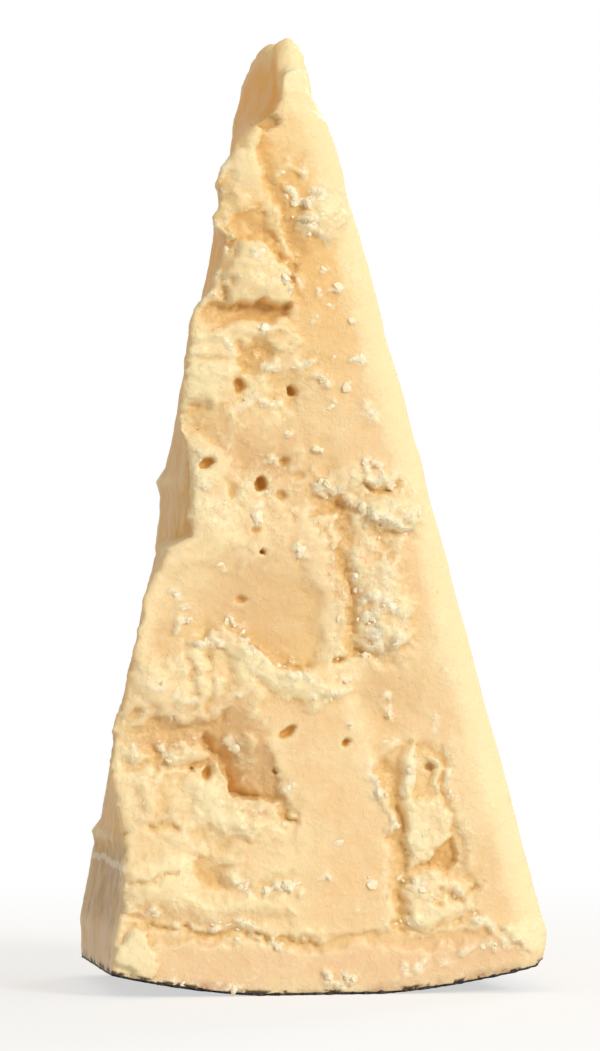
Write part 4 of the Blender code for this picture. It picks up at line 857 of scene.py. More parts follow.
BACK_FEATURES = (
    Ledge("upper step", [(-12, 140), (4, 140), (12, 96), (-6, 88), (-15, 100)], level=-1.6,
          tilt=(0.06, 0.03), soft=2),
    Ledge("middle shelf", [(-16, 88), (14, 92), (20, 66), (2, 58), (-22, 62)], level=1.2,
          tilt=(0, -0.06), soft=1.6),
    Ledge("back hollow", [(2, 56), (18, 62), (27, 40), (16, 26), (0, 34)], level=-3.6,
          tilt=(-0.05, 0.08), soft=2.4),
    Swell("back mound", [(-26, 50), (-6, 54), (0, 30), (-14, 18), (-30, 26)], height=2.0, shoulder=7),
    Crease("back crack", [(-20, 70), (-6, 64), (6, 60), (19, 66)], depth=2.2, left=2.5, right=1.2),
    Ledge("back rind band", [(-34, 7), (39, 7), (39, -2), (-34, -2)], level=-0.4, soft=1.6),
)


# ------------------------------
# The chunk's shape
# ------------------------------

def edge_at(edge: Outline, where: np.ndarray) -> np.ndarray:
    """Read an edge at given places.

    Args:
        edge: Pairs of place and value, in order.
        where: The places to read.

    Returns:
        The values there.
    """
    places, values = zip(*edge)
    return np.interp(where, places, values)


def fade_between(z: np.ndarray, between: Point, fades: Point) -> np.ndarray:
    """Rise from 0 to 1 above the lower height and sink back to 0 up to the upper height."""
    return smooth_step((z - between[0]) / fades[0]) * smooth_step((between[1] - z) / fades[1])


@dataclass(frozen=True)
class ChunkShape:
    """The slice of a wheel and how it broke, all in millimetres."""

    front: BrokenFace
    back: BrokenFace
    wheel_radius: float = 145.0
    depth: float = 48.0
    rest_width: float = 20.0
    tip_height: float = 150.0
    tip_left: float = -5.9
    tip_right: float = -1.2
    left_cut: Point = (-32.3, 0.1806)
    right_cut: Point = (39.05, -0.2819)
    corner_cut: float = 2.0
    left_edge_drop: Point = (0.6, 1.3)
    right_edge_drop: Point = (2.4, 5.5)
    tip_sharper: float = 0.75
    tip_between: Point = (132.0, 138.0)
    crag_between: Point = (12.0, 145.0)
    crag_fades: Point = (10.0, 12.0)
    crag_depth: float = 0.08
    crag_step: float = 0.2
    fold_between: Point = (64.0, 94.0)
    fold_fades: Point = (6.0, 8.0)
    fold_depth: float = 0.3
    fold_stretch: Place = (1.0, 1.0, 0.35)
    cleft: float = 1.5
    cleft_between: Point = (72.0, 95.0)
    cleft_fades: Point = (2.0, 8.0)
    cleft_place: float = 0.09
    cleft_width: float = 0.045
    face_reach: float = 0.25
    top_from: float = 134.0
    foot_to: float = 25.0
    crest_drop: float = 1.5
    # How much of its painted light and shade by height the back face keeps.
    back_painted_shade: float = 0.4
    widest: float = 60.0
    front_left_edge: Outline = (
        (0, -33), (5, -33.4), (23, -31), (35, -33.4), (42, -32.3), (66, -27), (69.8, -25.3),
        (70.7, -24.9), (71.5, -23.2), (72.5, -21.2), (86, -21.3), (91, -22.5), (101, -21.5),
        (106, -20.8), (108.5, -19.8), (112, -16.9), (116, -15.4), (120, -14.8), (121.5, -16.3),
        (123, -16.9), (126, -15.6), (128.3, -16.7), (130.8, -15.9), (134, -13.4), (136, -12.3),
        (138, -11), (139.5, -9), (142.5, -7), (146, -6.2), (152, -6))
    back_left_edge: Outline = (
        (0, -30.6), (9, -31.3), (22, -28.8), (24, -29.4), (26, -27.8), (34, -26.1), (42, -24),
        (48, -23.2), (70, -18.4), (79, -17.8), (81.5, -18.5), (84, -17.1), (90, -15.7), (99, -13.4),
        (110, -11.6), (137, -7.7), (145, -7.1), (152, -6))
    right_edge_swell: Outline = (
        (0, 0.2), (14, 1), (42, 1.1), (62, 1.3), (78, 1.3), (86, 1.8), (104, 1.5), (111, 1.9), (127, 1.3),
        (131, 1.9), (140, 1.8), (143, 0.7), (146, 0.6), (148, -0.2), (151, -0.6))
    crest: Outline = (
        (-24, 146.8), (-21.5, 146.4), (-20, 147.2), (-18.8, 150.4), (-17, 151.8), (-15, 151.7),
        (-13.2, 149.4), (-11, 150.6), (-8.5, 151.6),
        (-5, 152), (-1, 151.9), (2, 151.3), (5, 150.3), (9, 148.7), (12, 147.5), (24, 147))
    back_break: Outline = ((0, 24), (104, 24), (120, 20), (136, 14), (152, 11))

    def rim_height(self, x: np.ndarray) -> np.ndarray:
        """Give the height of the rind, the wheel's arc with its flat spot.

        Args:
            x: Places across the chunk.

        Returns:
            The rind's z there.
        """
        middle = np.sqrt(self.wheel_radius ** 2 - (self.rest_width / 2) ** 2)
        reach = np.minimum(np.abs(x), self.widest)
        return np.maximum(middle - np.sqrt(self.wheel_radius ** 2 - reach ** 2), 0.0)

    def cut_left(self, z: np.ndarray) -> np.ndarray:
        """Give x on the straight left cut."""
        return np.minimum(self.left_cut[0] + self.left_cut[1] * z, self.tip_left)

    def cut_right(self, z: np.ndarray) -> np.ndarray:
        """Give x on the straight right cut."""
        return np.maximum(self.right_cut[0] + self.right_cut[1] * z, self.tip_right)

    def rind_line(self, steps: int = 60) -> list[Point]:
        """Give the outline's foot, from the left cut along the rind to the right cut.

        Args:
            steps: How many points the arc gets.

        Returns:
            Points (x, z) of the plain slice.
        """
        left, right = self.cut_left(3.0), self.cut_right(8.0)
        arc = [(x, self.rim_height(x)) for x in np.linspace(left, right - self.corner_cut, steps)]
        lift = 0.35 * self.corner_cut
        return arc + [(right - lift, self.rim_height(right) + lift), (right, 9.0)]

    def outline(self) -> list[Point]:
        """Give the plain slice's outline seen from the front."""
        return self.rind_line() + [(self.cut_right(z), z) for z in (12.0, 143.0, self.tip_height)] + [
            (self.cut_left(z), z) for z in (self.tip_height, 146.0, 6.0)]

    def face_relief(self, face: BrokenFace, flat: np.ndarray, reach: np.ndarray) -> np.ndarray:
        """Work out a face's relief only where it reaches.

        Args:
            face: The broken face.
            flat: Points (x, z).
            reach: How much of the relief each point takes, 0 to 1.

        Returns:
            The relief's columns times its reach.
        """
        relief = np.zeros((len(flat), 6))
        near = reach > 0.0
        relief[near] = face.relief(flat[near])
        return relief * reach[:, None]

    def break_up(self, points: np.ndarray) -> tuple[np.ndarray, dict[str, np.ndarray]]:
        """Move points of the plain slice to where the broken chunk has them.

        Args:
            points: Points (x, y, z) of the plain slice.

        Returns:
            The moved points, and what the finishes read, by name.
        """
        x, y, z = points.T
        share = np.clip(y / self.depth + 0.5, 0.0, 1.0)
        across = (x - self.cut_left(z)) / (self.cut_right(z) - self.cut_left(z))
        left_front, left_back = edge_at(self.front_left_edge, z), edge_at(self.back_left_edge, z)
        left = left_front + (left_back - left_front) * share
        right = self.cut_right(z) + edge_at(self.right_edge_swell, z)
        left += LEFT_WAVES.wander(points)
        crag = np.exp(-share / self.crag_depth) * fade_between(z, self.crag_between, self.crag_fades)
        left -= crag * (CRAGS.chips(points) + SMALL_CRAGS.chips(points) + self.crag_step)
        folds = np.exp(-share / self.fold_depth) * fade_between(z, self.fold_between, self.fold_fades)
        left -= folds * FOLDS.chips(points * self.fold_stretch)
        cleft = self.cleft * fade_between(z, self.cleft_between, self.cleft_fades)
        left += cleft * np.exp(-((share - self.cleft_place) / self.cleft_width) ** 2)
        right += RIGHT_WAVES.wander(points)
        moved_x = left + across * (right - left)

        flat = np.column_stack([moved_x, z])
        drop, width = self.left_edge_drop
        at_tip = smooth_step((z - self.tip_between[0]) / np.subtract(*self.tip_between[::-1]))
        drop = drop * (1.0 - self.tip_sharper * at_tip)
        rounding = drop * np.clip(1.0 - (moved_x - left) / width, 0.0, 1.0) ** 2
        drop, width = self.right_edge_drop
        rounding += drop * np.clip(1.0 - (right - moved_x) / width, 0.0, 1.0) ** 2
        front_reach = smooth_step(1.0 - share / self.face_reach)
        back_reach = smooth_step(1.0 - (1.0 - share) / self.face_reach)
        front = self.face_relief(self.front, flat, front_reach)
        back = self.face_relief(self.back, flat, back_reach)
        moved_y = -0.5 * self.depth + share * (edge_at(self.back_break, z) + 0.5 * self.depth)
        moved_y += rounding * (front_reach - back_reach) - front[:, 0] + back[:, 0]

        top = smooth_step((z - self.top_from) / (self.tip_height - self.top_from))
        foot = np.clip(1.0 - z / self.foot_to, 0.0, 1.0)
        round_top = self.crest_drop * (2.0 * across - 1.0) ** 2 + CREST_WAVES.wander(points)
        moved_z = z + top * (edge_at(self.crest, moved_y) - self.tip_height - round_top)
        moved_z += foot * (self.rim_height(moved_x) - self.rim_height(x))
        # The back keeps less of its painted light and shade by height.
        back[:, 4] *= self.back_painted_shade
        both = front + back
        fields = {
            "crumbly": both[:, 1], "crumb_cover": both[:, 2], "eye_depth": both[:, 3],
            "broad_height": both[:, 4], "tone_and_shade": both[:, 5], "right_gap": right - moved_x,
            "edge_gap": np.minimum(right - moved_x + np.maximum(7.0 - self.depth * share, 0.0),
                                   moved_x - left),
            "rind_gap": moved_z - self.rim_height(moved_x)}
        return np.column_stack([moved_x, moved_y, moved_z]), fields


# ------------------------------
# Mesh helpers
# ------------------------------

def add_object(name: str, data: bpy.types.ID) -> bpy.types.Object:
    """Link a new object with this data to the scene.

    Args:
        name: The object's name.
        data: Its mesh, curve, light or camera.

    Returns:
        The object.
    """
    obj = bpy.data.objects.new(name, data)
    bpy.context.scene.collection.objects.link(obj)
    return obj


def evaluated_mesh(obj: bpy.types.Object) -> bpy.types.Mesh:
    """Turn an object with its modifiers into a plain mesh, and remove the object.

    Args:
        obj: The object to read.

    Returns:
        The mesh.
    """
    depsgraph = bpy.context.evaluated_depsgraph_get()
    mesh = bpy.data.meshes.new_from_object(obj.evaluated_get(depsgraph))
    bpy.data.objects.remove(obj)
    return mesh


def read_points(mesh: bpy.types.Mesh) -> np.ndarray:
    """Read a mesh's vertices, one row each.

    Args:
        mesh: The mesh to read.

    Returns:
        The rows.
    """
    points = np.empty(len(mesh.vertices) * 3)
    mesh.vertices.foreach_get("co", points)
    return points.reshape(-1, 3)


def read_normals(mesh: bpy.types.Mesh) -> np.ndarray:
    """Read a mesh's vertex normals, one row each.

    Args:
        mesh: The mesh to read.

    Returns:
        The rows.
    """
    normals = np.empty(len(mesh.vertices) * 3)
    mesh.vertex_normals.foreach_get("vector", normals)
    return normals.reshape(-1, 3)


def read_edges(mesh: bpy.types.Mesh) -> np.ndarray:
    """Read the vertex numbers of a mesh's edges, one row each.

    Args:
        mesh: The mesh to read.

    Returns:
        The rows.
    """
    edges = np.empty(len(mesh.edges) * 2, np.int32)
    mesh.edges.foreach_get("vertices", edges)
    return edges.reshape(-1, 2)


def blurred(values: np.ndarray, edges: np.ndarray, rounds: int) -> np.ndarray:
    """Average values with those of neighbouring vertices, again and again.

    Args:
        values: One row for each vertex.
        edges: The vertex numbers of each edge.
        rounds: How often to average.

    Returns:
        The blurred values.
    """
    count = len(values)
    first, second = edges.T
    degree = np.maximum(np.bincount(edges.ravel(), minlength=count), 1)[:, None]
    for _ in range(rounds):
        total = np.column_stack([
            np.bincount(first, column[second], count) + np.bincount(second, column[first], count)
            for column in values.T])
        values = 0.5 * values + 0.5 * total / degree
    return values


def add_attribute(mesh: bpy.types.Mesh, name: str, values: np.ndarray) -> None:
    """Store one number for each vertex under a name that materials and nodes read."""
    mesh.attributes.new(name, "FLOAT", "POINT").data.foreach_set("value", values.astype(np.float32))


def read_attribute(mesh: bpy.types.Mesh, name: str) -> np.ndarray:
    """Read the number that each vertex carries under a name.

    Args:
        mesh: The mesh to read.
        name: The numbers' name.

    Returns:
        One number for each vertex.
    """
    values = np.empty(len(mesh.vertices), np.float32)
    mesh.attributes[name].data.foreach_get("value", values)
    return values.astype(float)


# ------------------------------
# Shader groups that several finishes share
# ------------------------------

class NodeSketch:
    """A node tree with short calls to add nodes, wires and sockets."""

    def __init__(self, tree: bpy.types.NodeTree) -> None:
        """Take hold of a tree.

        Args:
            tree: The tree to build in; what it holds is cleared.
        """
        self.tree = tree
        tree.nodes.clear()

    def node(self, kind: str, settings: dict | None = None, **inputs: object) -> bpy.types.Node:
        """Add a node.

        Args:
            kind: The node's type name.
            settings: Values of the node itself, such as its operation.
            **inputs: Socket values or output sockets to wire in, by the socket's name with _ for
                a space, or in_0, in_1 and so on by its number.

        Returns:
            The new node.
        """
        node = self.tree.nodes.new(kind)
        for name, value in (settings or {}).items():
            setattr(node, name, value)
        for name, value in inputs.items():
            key = int(name[3:]) if name.startswith("in_") else name.replace("_", " ")
            socket = node.inputs[key]
            if isinstance(value, bpy.types.NodeSocket):
                self.tree.links.new(value, socket)
            else:
                socket.default_value = value
        return node

    def math(self, operation: str, first: Amount, second: Amount = 0.0, clamp: bool = False) -> Socket:
        """Add a Math node and give its output."""
        settings = {"operation": operation, "use_clamp": clamp}
        return self.node("ShaderNodeMath", settings, in_0=first, in_1=second).outputs[0]

    def ramp(self, value: Socket, low: float, high: float, out_low: float = 0.0,
             out_high: float = 1.0) -> Socket:
        """Ease a value from one range to another.

        Args:
            value: The socket to read.
            low: The value where the ramp starts.
            high: The value where it ends.
            out_low: What comes out at low.
            out_high: What comes out at high.

        Returns:
            The eased value's socket.
        """
        node = self.node("ShaderNodeMapRange", {"interpolation_type": "SMOOTHSTEP"}, Value=value,
                         From_Min=low, From_Max=high, To_Min=out_low, To_Max=out_high)
        return node.outputs["Result"]

    def blend(self, share: Amount, under: Paint, over: Paint) -> Socket:
        """Lay one colour over another.

        Args:
            share: How much of the upper colour shows.
            under: The lower colour or its socket.
            over: The upper colour or its socket.

        Returns:
            The mixed colour's socket.
        """
        lower, upper = [(*paint, 1) if isinstance(paint, tuple) else paint for paint in (under, over)]
        mixed = self.node("ShaderNodeMix", {"data_type": "RGBA"}, in_0=share, in_6=lower, in_7=upper)
        return mixed.outputs[2]

    def coats(self, ground: Paint, *layers: tuple[Amount, Paint]) -> Socket:
        """Lay colours over a ground, one after another.

        Args:
            ground: The lowest colour.
            *layers: How much of each colour shows, and the colour.

        Returns:
            The finished colour's socket.
        """
        for share, paint in layers:
            ground = self.blend(share, ground, paint)
        return ground

    def group(self, tree: bpy.types.NodeTree, place: Socket, **inputs: float) -> Socket:
        """Add a shared group and give its first output."""
        return self.node("ShaderNodeGroup", {"node_tree": tree}, Place=place, **inputs).outputs[0]

    def attribute(self, name: str) -> Socket:
        """Read a number that the mesh carries."""
        return self.node("ShaderNodeAttribute", {"attribute_name": name}).outputs["Fac"]


def new_group(name: str, inputs: dict[str, float], outputs: Sequence[str]) -> NodeSketch:
    """Start a shader node group with float sockets and a vector socket for the place.

    Args:
        name: The group's name.
        inputs: Names and first values of its float inputs.
        outputs: Names of its float outputs.

    Returns:
        A sketch of the empty group.
    """
    tree = bpy.data.node_groups.new(name, "ShaderNodeTree")
    tree.interface.new_socket("Place", in_out="INPUT", socket_type="NodeSocketVector")
    for label, value in inputs.items():
        socket = tree.interface.new_socket(label, in_out="INPUT", socket_type="NodeSocketFloat")
        socket.default_value = value
    for label in outputs:
        tree.interface.new_socket(label, in_out="OUTPUT", socket_type="NodeSocketFloat")
    return NodeSketch(tree)


def cloud_group() -> bpy.types.NodeTree:
    """Make the group of soft cloudy patches: sizes are in metres, and the mask is 0 to 1.

    Returns:
        The group.
    """
    sketch = new_group("soft clouds", {"Size": 0.01, "Detail": 3.0, "Low": 0.4, "High": 0.6}, ["Mask"])
    source = sketch.node("NodeGroupInput").outputs
    scale = sketch.math("DIVIDE", 1.0, source["Size"])
    cloud = sketch.node("ShaderNodeTexNoise", Vector=source["Place"], Scale=scale,
                        Detail=source["Detail"], Roughness=0.6)
    eased = sketch.node("ShaderNodeMapRange", {"interpolation_type": "SMOOTHSTEP"},
                        Value=cloud.outputs["Fac"], From_Min=source["Low"], From_Max=source["High"])
    sketch.node("NodeGroupOutput", Mask=eased.outputs["Result"])
    return sketch.tree


def grain_group() -> bpy.types.NodeTree:
    """Make the group of fine paste grain: small pits and granules as a height, 0 to 1.

    Returns:
        The group.
    """
    sketch = new_group("paste grain", {"Size": 0.0006, "Pits": 0.4}, ["Height"])
    source = sketch.node("NodeGroupInput").outputs
    scale = sketch.math("DIVIDE", 1.0, source["Size"])
    soft = sketch.node("ShaderNodeTexNoise", Vector=source["Place"], Scale=scale, Detail=3.0,
                       Roughness=0.65)
    granule = sketch.node("ShaderNodeTexVoronoi", {"feature": "SMOOTH_F1"}, Vector=source["Place"],
                          Scale=sketch.math("MULTIPLY", scale, 0.7), Smoothness=0.4)
    pits = sketch.math("MULTIPLY", granule.outputs["Distance"], source["Pits"])
    height = sketch.math("SUBTRACT", soft.outputs["Fac"], pits)
    sketch.node("NodeGroupOutput", Height=height)
    return sketch.tree


def speck_group() -> bpy.types.NodeTree:
    """Make the group of small ragged specks: some cells of a grid hold one, as a mask, 0 to 1.

    Returns:
        The group.
    """
    sketch = new_group("ragged specks", {"Size": 0.002, "Share": 0.3}, ["Mask"])
    source = sketch.node("NodeGroupInput").outputs
    scale = sketch.math("DIVIDE", 1.0, source["Size"])
    frayed = sketch.node("ShaderNodeTexNoise", Vector=source["Place"], Scale=2500.0, Detail=2.0)
    fray = sketch.node("ShaderNodeVectorMath", {"operation": "SCALE"}, in_0=frayed.outputs["Color"],
                       Scale=0.0009)
    moved = sketch.node("ShaderNodeVectorMath", {"operation": "ADD"}, in_0=source["Place"],
                        in_1=fray.outputs["Vector"])
    cell = sketch.node("ShaderNodeTexVoronoi", Vector=moved.outputs["Vector"], Scale=scale)
    draw = sketch.node("ShaderNodeSeparateColor", Color=cell.outputs["Color"])
    present = sketch.math("LESS_THAN", draw.outputs["Red"], source["Share"])
    reach = sketch.math("MULTIPLY", draw.outputs["Green"], 0.28)
    inside = sketch.math("SUBTRACT", reach, cell.outputs["Distance"])
    mask = sketch.math("MULTIPLY", sketch.ramp(inside, -0.02, 0.06), present)
    sketch.node("NodeGroupOutput", Mask=mask)
    return sketch.tree


# ------------------------------
# Finishes
# ------------------------------

def new_material(name: str) -> NodeSketch:
    """Start a material.

    Args:
        name: The material's name.

    Returns:
        A sketch of its empty tree.
    """
    material = bpy.data.materials.new(name)
    material.use_nodes = True
    return NodeSketch(material.node_tree)


def place_of(sketch: NodeSketch, scale: Place = (1, 1, 1)) -> Socket:
    """Read object coordinates, stretched by a scale.

    Args:
        sketch: The material's tree.
        scale: How much each axis is stretched.

    Returns:
        The place's socket.
    """
    place = sketch.node("ShaderNodeTexCoord").outputs["Object"]
    if scale == (1, 1, 1):
        return place
    return sketch.node("ShaderNodeMapping", Vector=place, Scale=scale).outputs["Vector"]


@dataclass(frozen=True)
class Groups:
    """The shared shader groups."""

    clouds: bpy.types.NodeTree
    grain: bpy.types.NodeTree
    specks: bpy.types.NodeTree

    def cloud(self, sketch: NodeSketch, place: Socket, **inputs: float) -> Socket:
        """Place the cloud group in a material and give its mask."""
        return sketch.group(self.clouds, place, **inputs)

    def flecks(self, sketch: NodeSketch, place: Socket, **inputs: float) -> Socket:
        """Place the speck group in a material and give its mask."""
        return sketch.group(self.specks, place, **inputs)

    def height(self, sketch: NodeSketch, place: Socket, **inputs: float) -> Socket:
        """Place the grain group in a material and give its height."""
        return sketch.group(self.grain, place, **inputs)


@dataclass(frozen=True)
class PasteFinish:
    """Waxy straw-coloured paste with painted light and shade: paler on ridges and crumbs, partly the dry
    crumbs' own colour and partly painted light; deeper and warmer in hollows, eyes and on the cut sides,
    which is painted shade; a painted glow towards the tip and along the right edge.
    """

    straw: Colour = (0.90, 0.70, 0.39)
    peach: Colour = (0.87, 0.61, 0.315)
    # Painted glow: the colour the paste turns towards its thin tip.
    tip_glow_amber: Colour = (0.86, 0.54, 0.20)
    # Painted light: the paler colour of raised parts.
    painted_rise_light: Colour = (0.91, 0.725, 0.395)
    cream: Colour = (0.94, 0.805, 0.515)
    crumb: Colour = (0.96, 0.865, 0.665)
    # Painted glow along the right edge.
    glow_edge: Colour = (0.90, 0.755, 0.425)
    # Painted shade colours for recesses, hollows and the gaps between crumbs, the second one darker.
    painted_recess_shade: Colour = (0.81, 0.535, 0.21)
    deep: Colour = (0.69, 0.39, 0.115)
    # Tone patch colours: the tan is partly own tone and partly painted shade; the umber is painted shade in
    # the deepest hollows.
    tan_and_shade: Colour = (0.74, 0.47, 0.22)
    umber_shade: Colour = (0.49, 0.265, 0.085)
    # Pale: partly own tone, partly painted light on mounds and convex spots.
    pale: Colour = (0.94, 0.80, 0.485)
    # Painted shade inside the eyes.
    eye: Colour = (0.62, 0.31, 0.05)
    # Painted warm shade: the cut sides' darker, more orange copy of the paste.
    side: Colour = (0.80, 0.46, 0.15)
    side_pale: Colour = (0.86, 0.58, 0.26)
    side_foot: Colour = (0.44, 0.28, 0.13)
    scratch: Colour = (0.70, 0.61, 0.48)
    scar: Colour = (0.88, 0.80, 0.64)
    # Painted glow at the top of the cut sides.
    tip: Colour = (0.99, 0.48, 0.10)
    rind_band: Colour = (0.82, 0.56, 0.32)
    scorch: Colour = (0.48, 0.26, 0.13)
    stain: Colour = (0.07, 0.04, 0.02)
    glow: float = 0.3
    glow_reach: float = 0.0018

    def colours(self, sketch: NodeSketch, groups: Groups, place: Socket) -> Socket:
        """Lay the paste's colours over one another.

        Args:
            sketch: The material's tree.
            groups: The shared shader groups.
            place: Where on the paste a point lies.

        Returns:
            The colour's socket.
        """
        hollow, crumbly, cover = map(sketch.attribute, ("hollow", "crumbly", "crumb_cover"))
        rind_gap, side_cut = sketch.attribute("rind_gap"), sketch.attribute("side_cut")
        wide = groups.cloud(sketch, place, Size=0.02, Low=0.38, High=0.64)
        mottle = groups.cloud(sketch, place, Size=0.004, Detail=6.0, Low=0.42, High=0.7)
        colour = sketch.blend(wide, self.straw, self.peach)
        colour = sketch.blend(sketch.math("MULTIPLY", mottle, 0.22), colour, self.cream)
        blush = groups.cloud(sketch, place, Size=0.0075, Detail=5.0, Low=0.45, High=0.68)
        colour = sketch.blend(sketch.math("MULTIPLY", blush, 0.35), colour, self.peach)

        # Painted glow: towards the thin tip the paste turns amber, standing in for light shining through it.
        thin = sketch.ramp(rind_gap, 82.0, 120.0, 0.0, 0.95)
        colour = sketch.blend(thin, colour, self.tip_glow_amber)
        # Painted light and shade by height: raised parts paler, recessed parts warmer and darker, deep ones
        # darker still.
        broad = sketch.attribute("broad_height")
        colour = sketch.coats(
            colour, (sketch.ramp(broad, 0.25, 1.2, 0.0, 0.6), self.painted_rise_light),
            (sketch.ramp(broad, -0.2, -1.8, 0.0, 0.85), self.painted_recess_shade),
            (sketch.ramp(broad, -1.8, -3.6, 0.0, 0.7), self.deep))
        # Painted glow: a lighter band along the right edge, standing in for light shining through and round
        # it.
        edge = sketch.ramp(sketch.attribute("right_gap"), 6.5, 0.3, 0.0, 0.95)
        colour = sketch.blend(edge, colour, self.glow_edge)
        # Tone patches: tanner, then umber, above 0 and paler below 0; partly own tone, partly painted shade
        # in hollows and painted light on mounds.
        tone_and_shade = sketch.attribute("tone_and_shade")
        colour = sketch.coats(
            colour, (sketch.ramp(tone_and_shade, 0.05, 1.0, 0.0, 0.9), self.tan_and_shade),
            (sketch.ramp(tone_and_shade, 1.0, 1.8, 0.0, 0.8), self.umber_shade),
            (sketch.ramp(tone_and_shade, -0.05, -1.0, 0.0, 0.9), self.pale))

        # The cut sides: a darker, more orange copy of the paste, which is painted warm shade, with paler
        # knife streaks, a darker foot and scrapes near the rind.
        streaks = groups.cloud(sketch, place_of(sketch, (1, 1, 0.16)), Size=0.0018, Low=0.35, High=0.75)
        cut = sketch.blend(streaks, self.side, self.side_pale)
        foot = sketch.math("MULTIPLY", sketch.ramp(rind_gap, 24.0, 17.0), sketch.math("ADD", mottle, 0.5))
        cut = sketch.blend(sketch.math("MINIMUM", foot, 0.9), cut, self.side_foot)
        scrape = sketch.math("MULTIPLY", sketch.ramp(rind_gap, 13.0, 5.0, 0.0, 0.7), streaks)
        cut = sketch.blend(scrape, cut, self.scratch)
        off_scar = sketch.math("ADD", rind_gap, sketch.math("MULTIPLY", wide, 0.7))
        off_scar = sketch.math("ABSOLUTE", sketch.math("SUBTRACT", off_scar, 17.9))
        # A pale scar line across the cut, then painted glow: the cut sides turn bright orange towards the
        # tip, standing in for light shining through it.
        cut = sketch.coats(
            cut, (sketch.ramp(off_scar, 0.8, 0.25, 0.0, 0.6), self.scar),
            (sketch.ramp(rind_gap, 90.0, 128.0, 0.0, 0.85), self.tip))
        colour = sketch.blend(sketch.math("MULTIPLY", side_cut, 0.95), colour, cut)
        band = sketch.math("MULTIPLY", sketch.ramp(rind_gap, 9.0, 6.0), 0.65)
        band = sketch.math("MULTIPLY", band, sketch.ramp(tone_and_shade, -0.1, -0.7, 1.0, 0.0))
        colour = sketch.blend(band, colour, self.rind_band)

        flakes = groups.cloud(sketch, place, Size=0.0016, Detail=7.0, Low=0.50, High=0.58)
        # Pale cream and crumb colour only on ridges: partly the dry crumbs' own paleness, partly painted
        # light on ridges.
        ridge = sketch.ramp(hollow, 0.25, -0.3, 0.0, 1.2)
        pale = sketch.math("ADD", sketch.math("MULTIPLY", crumbly, 0.8), 0.06)
        pale = sketch.math("MULTIPLY", pale, sketch.math("ADD", flakes, 0.3))
        colour = sketch.blend(sketch.math("MULTIPLY", pale, ridge, clamp=True), colour, self.cream)
        grains = sketch.math("MULTIPLY", sketch.math("MULTIPLY", cover, 1.3), ridge, clamp=True)
        colour = sketch.blend(grains, colour, self.crumb)
        flecks = groups.flecks(sketch, place, Size=0.0013, Share=0.3)
        flecks = sketch.math("MULTIPLY", flecks, sketch.math("ADD", crumbly, 0.2, clamp=True))
        colour = sketch.blend(flecks, colour, self.crumb)
        # Painted shade: golden colour in the hollows between crumbs.
        torn = sketch.math("ADD", sketch.math("MULTIPLY", cover, 1.2), crumbly, clamp=True)
        gap_shade = sketch.math("MULTIPLY", sketch.ramp(hollow, 0.1, 0.7, 0.0, 0.55), torn)
        colour = sketch.blend(gap_shade, colour, self.painted_recess_shade)

        # Painted light and shade by concavity: convex spots paler, hollows warmer and darker, deep hollows
        # darker still.
        colour = sketch.coats(
            colour, (sketch.ramp(hollow, 0.0, -0.6, 0.0, 0.4), self.pale),
            (sketch.ramp(hollow, 0.0, 0.8, 0.0, 0.38), self.painted_recess_shade),
            (sketch.ramp(hollow, 0.4, 2.0, 0.0, 0.6), self.deep))
        # Painted shade: the eyes turn dark brown with their depth.
        eye = sketch.ramp(sketch.attribute("eye_depth"), 0.3, 1.3, 0.0, 0.85)
        colour = sketch.blend(eye, colour, self.eye)
        soaked = groups.cloud(sketch, place, Size=0.008, Detail=5.0, Low=0.42, High=0.66)
        soaked = sketch.math("MULTIPLY", soaked, sketch.ramp(rind_gap, 2.4, 0.5, 0.0, 0.8))
        colour = sketch.blend(soaked, colour, self.scorch)
        dots = groups.cloud(sketch, place, Size=0.003, Detail=6.0, Low=0.5, High=0.58)
        near = sketch.ramp(rind_gap, 1.1, 0.5, 0.0, 0.95)
        return sketch.blend(sketch.math("MULTIPLY", dots, near), colour, self.stain)

    def make(self, groups: Groups) -> bpy.types.Material:
        """Build the material.

        Args:
            groups: The shared shader groups.

        Returns:
            The material.
        """
        sketch = new_material("pecorino_paste")
        place = place_of(sketch)
        colour = self.colours(sketch, groups, place)
        rough_share = sketch.math("ADD", sketch.attribute("crumbly"), sketch.attribute("crumb_cover"))
        fine = groups.height(sketch, place, Size=0.0008, Pits=0.3)
        coarse = groups.height(sketch, place, Size=0.0022, Pits=0.8)
        flakes = groups.cloud(sketch, place, Size=0.0016, Detail=7.0, Low=0.50, High=0.58)
        torn = sketch.math("ADD", coarse, sketch.math("MULTIPLY", flakes, 0.7))
        torn = sketch.math("MULTIPLY", torn, sketch.math("ADD", rough_share, 0.15))
        height = sketch.math("ADD", sketch.math("MULTIPLY", fine, 0.35), torn)
        bump = sketch.node("ShaderNodeBump", Strength=0.55, Distance=0.0004, Height=height)
        gloss = groups.cloud(sketch, place, Size=0.006, Detail=4.0, Low=0.4, High=0.65)
        roughness = sketch.ramp(gloss, 0.0, 1.0, 0.38, 0.6)
        shader = sketch.node(
            "ShaderNodeBsdfPrincipled", Base_Color=colour, Roughness=roughness,
            Normal=bump.outputs["Normal"], Subsurface_Weight=self.glow,
            Subsurface_Radius=(1.0, 0.55, 0.22), Subsurface_Scale=self.glow_reach, IOR=1.42)
        sketch.node("ShaderNodeOutputMaterial", Surface=shader.outputs["BSDF"])
        return bpy.data.materials["pecorino_paste"]


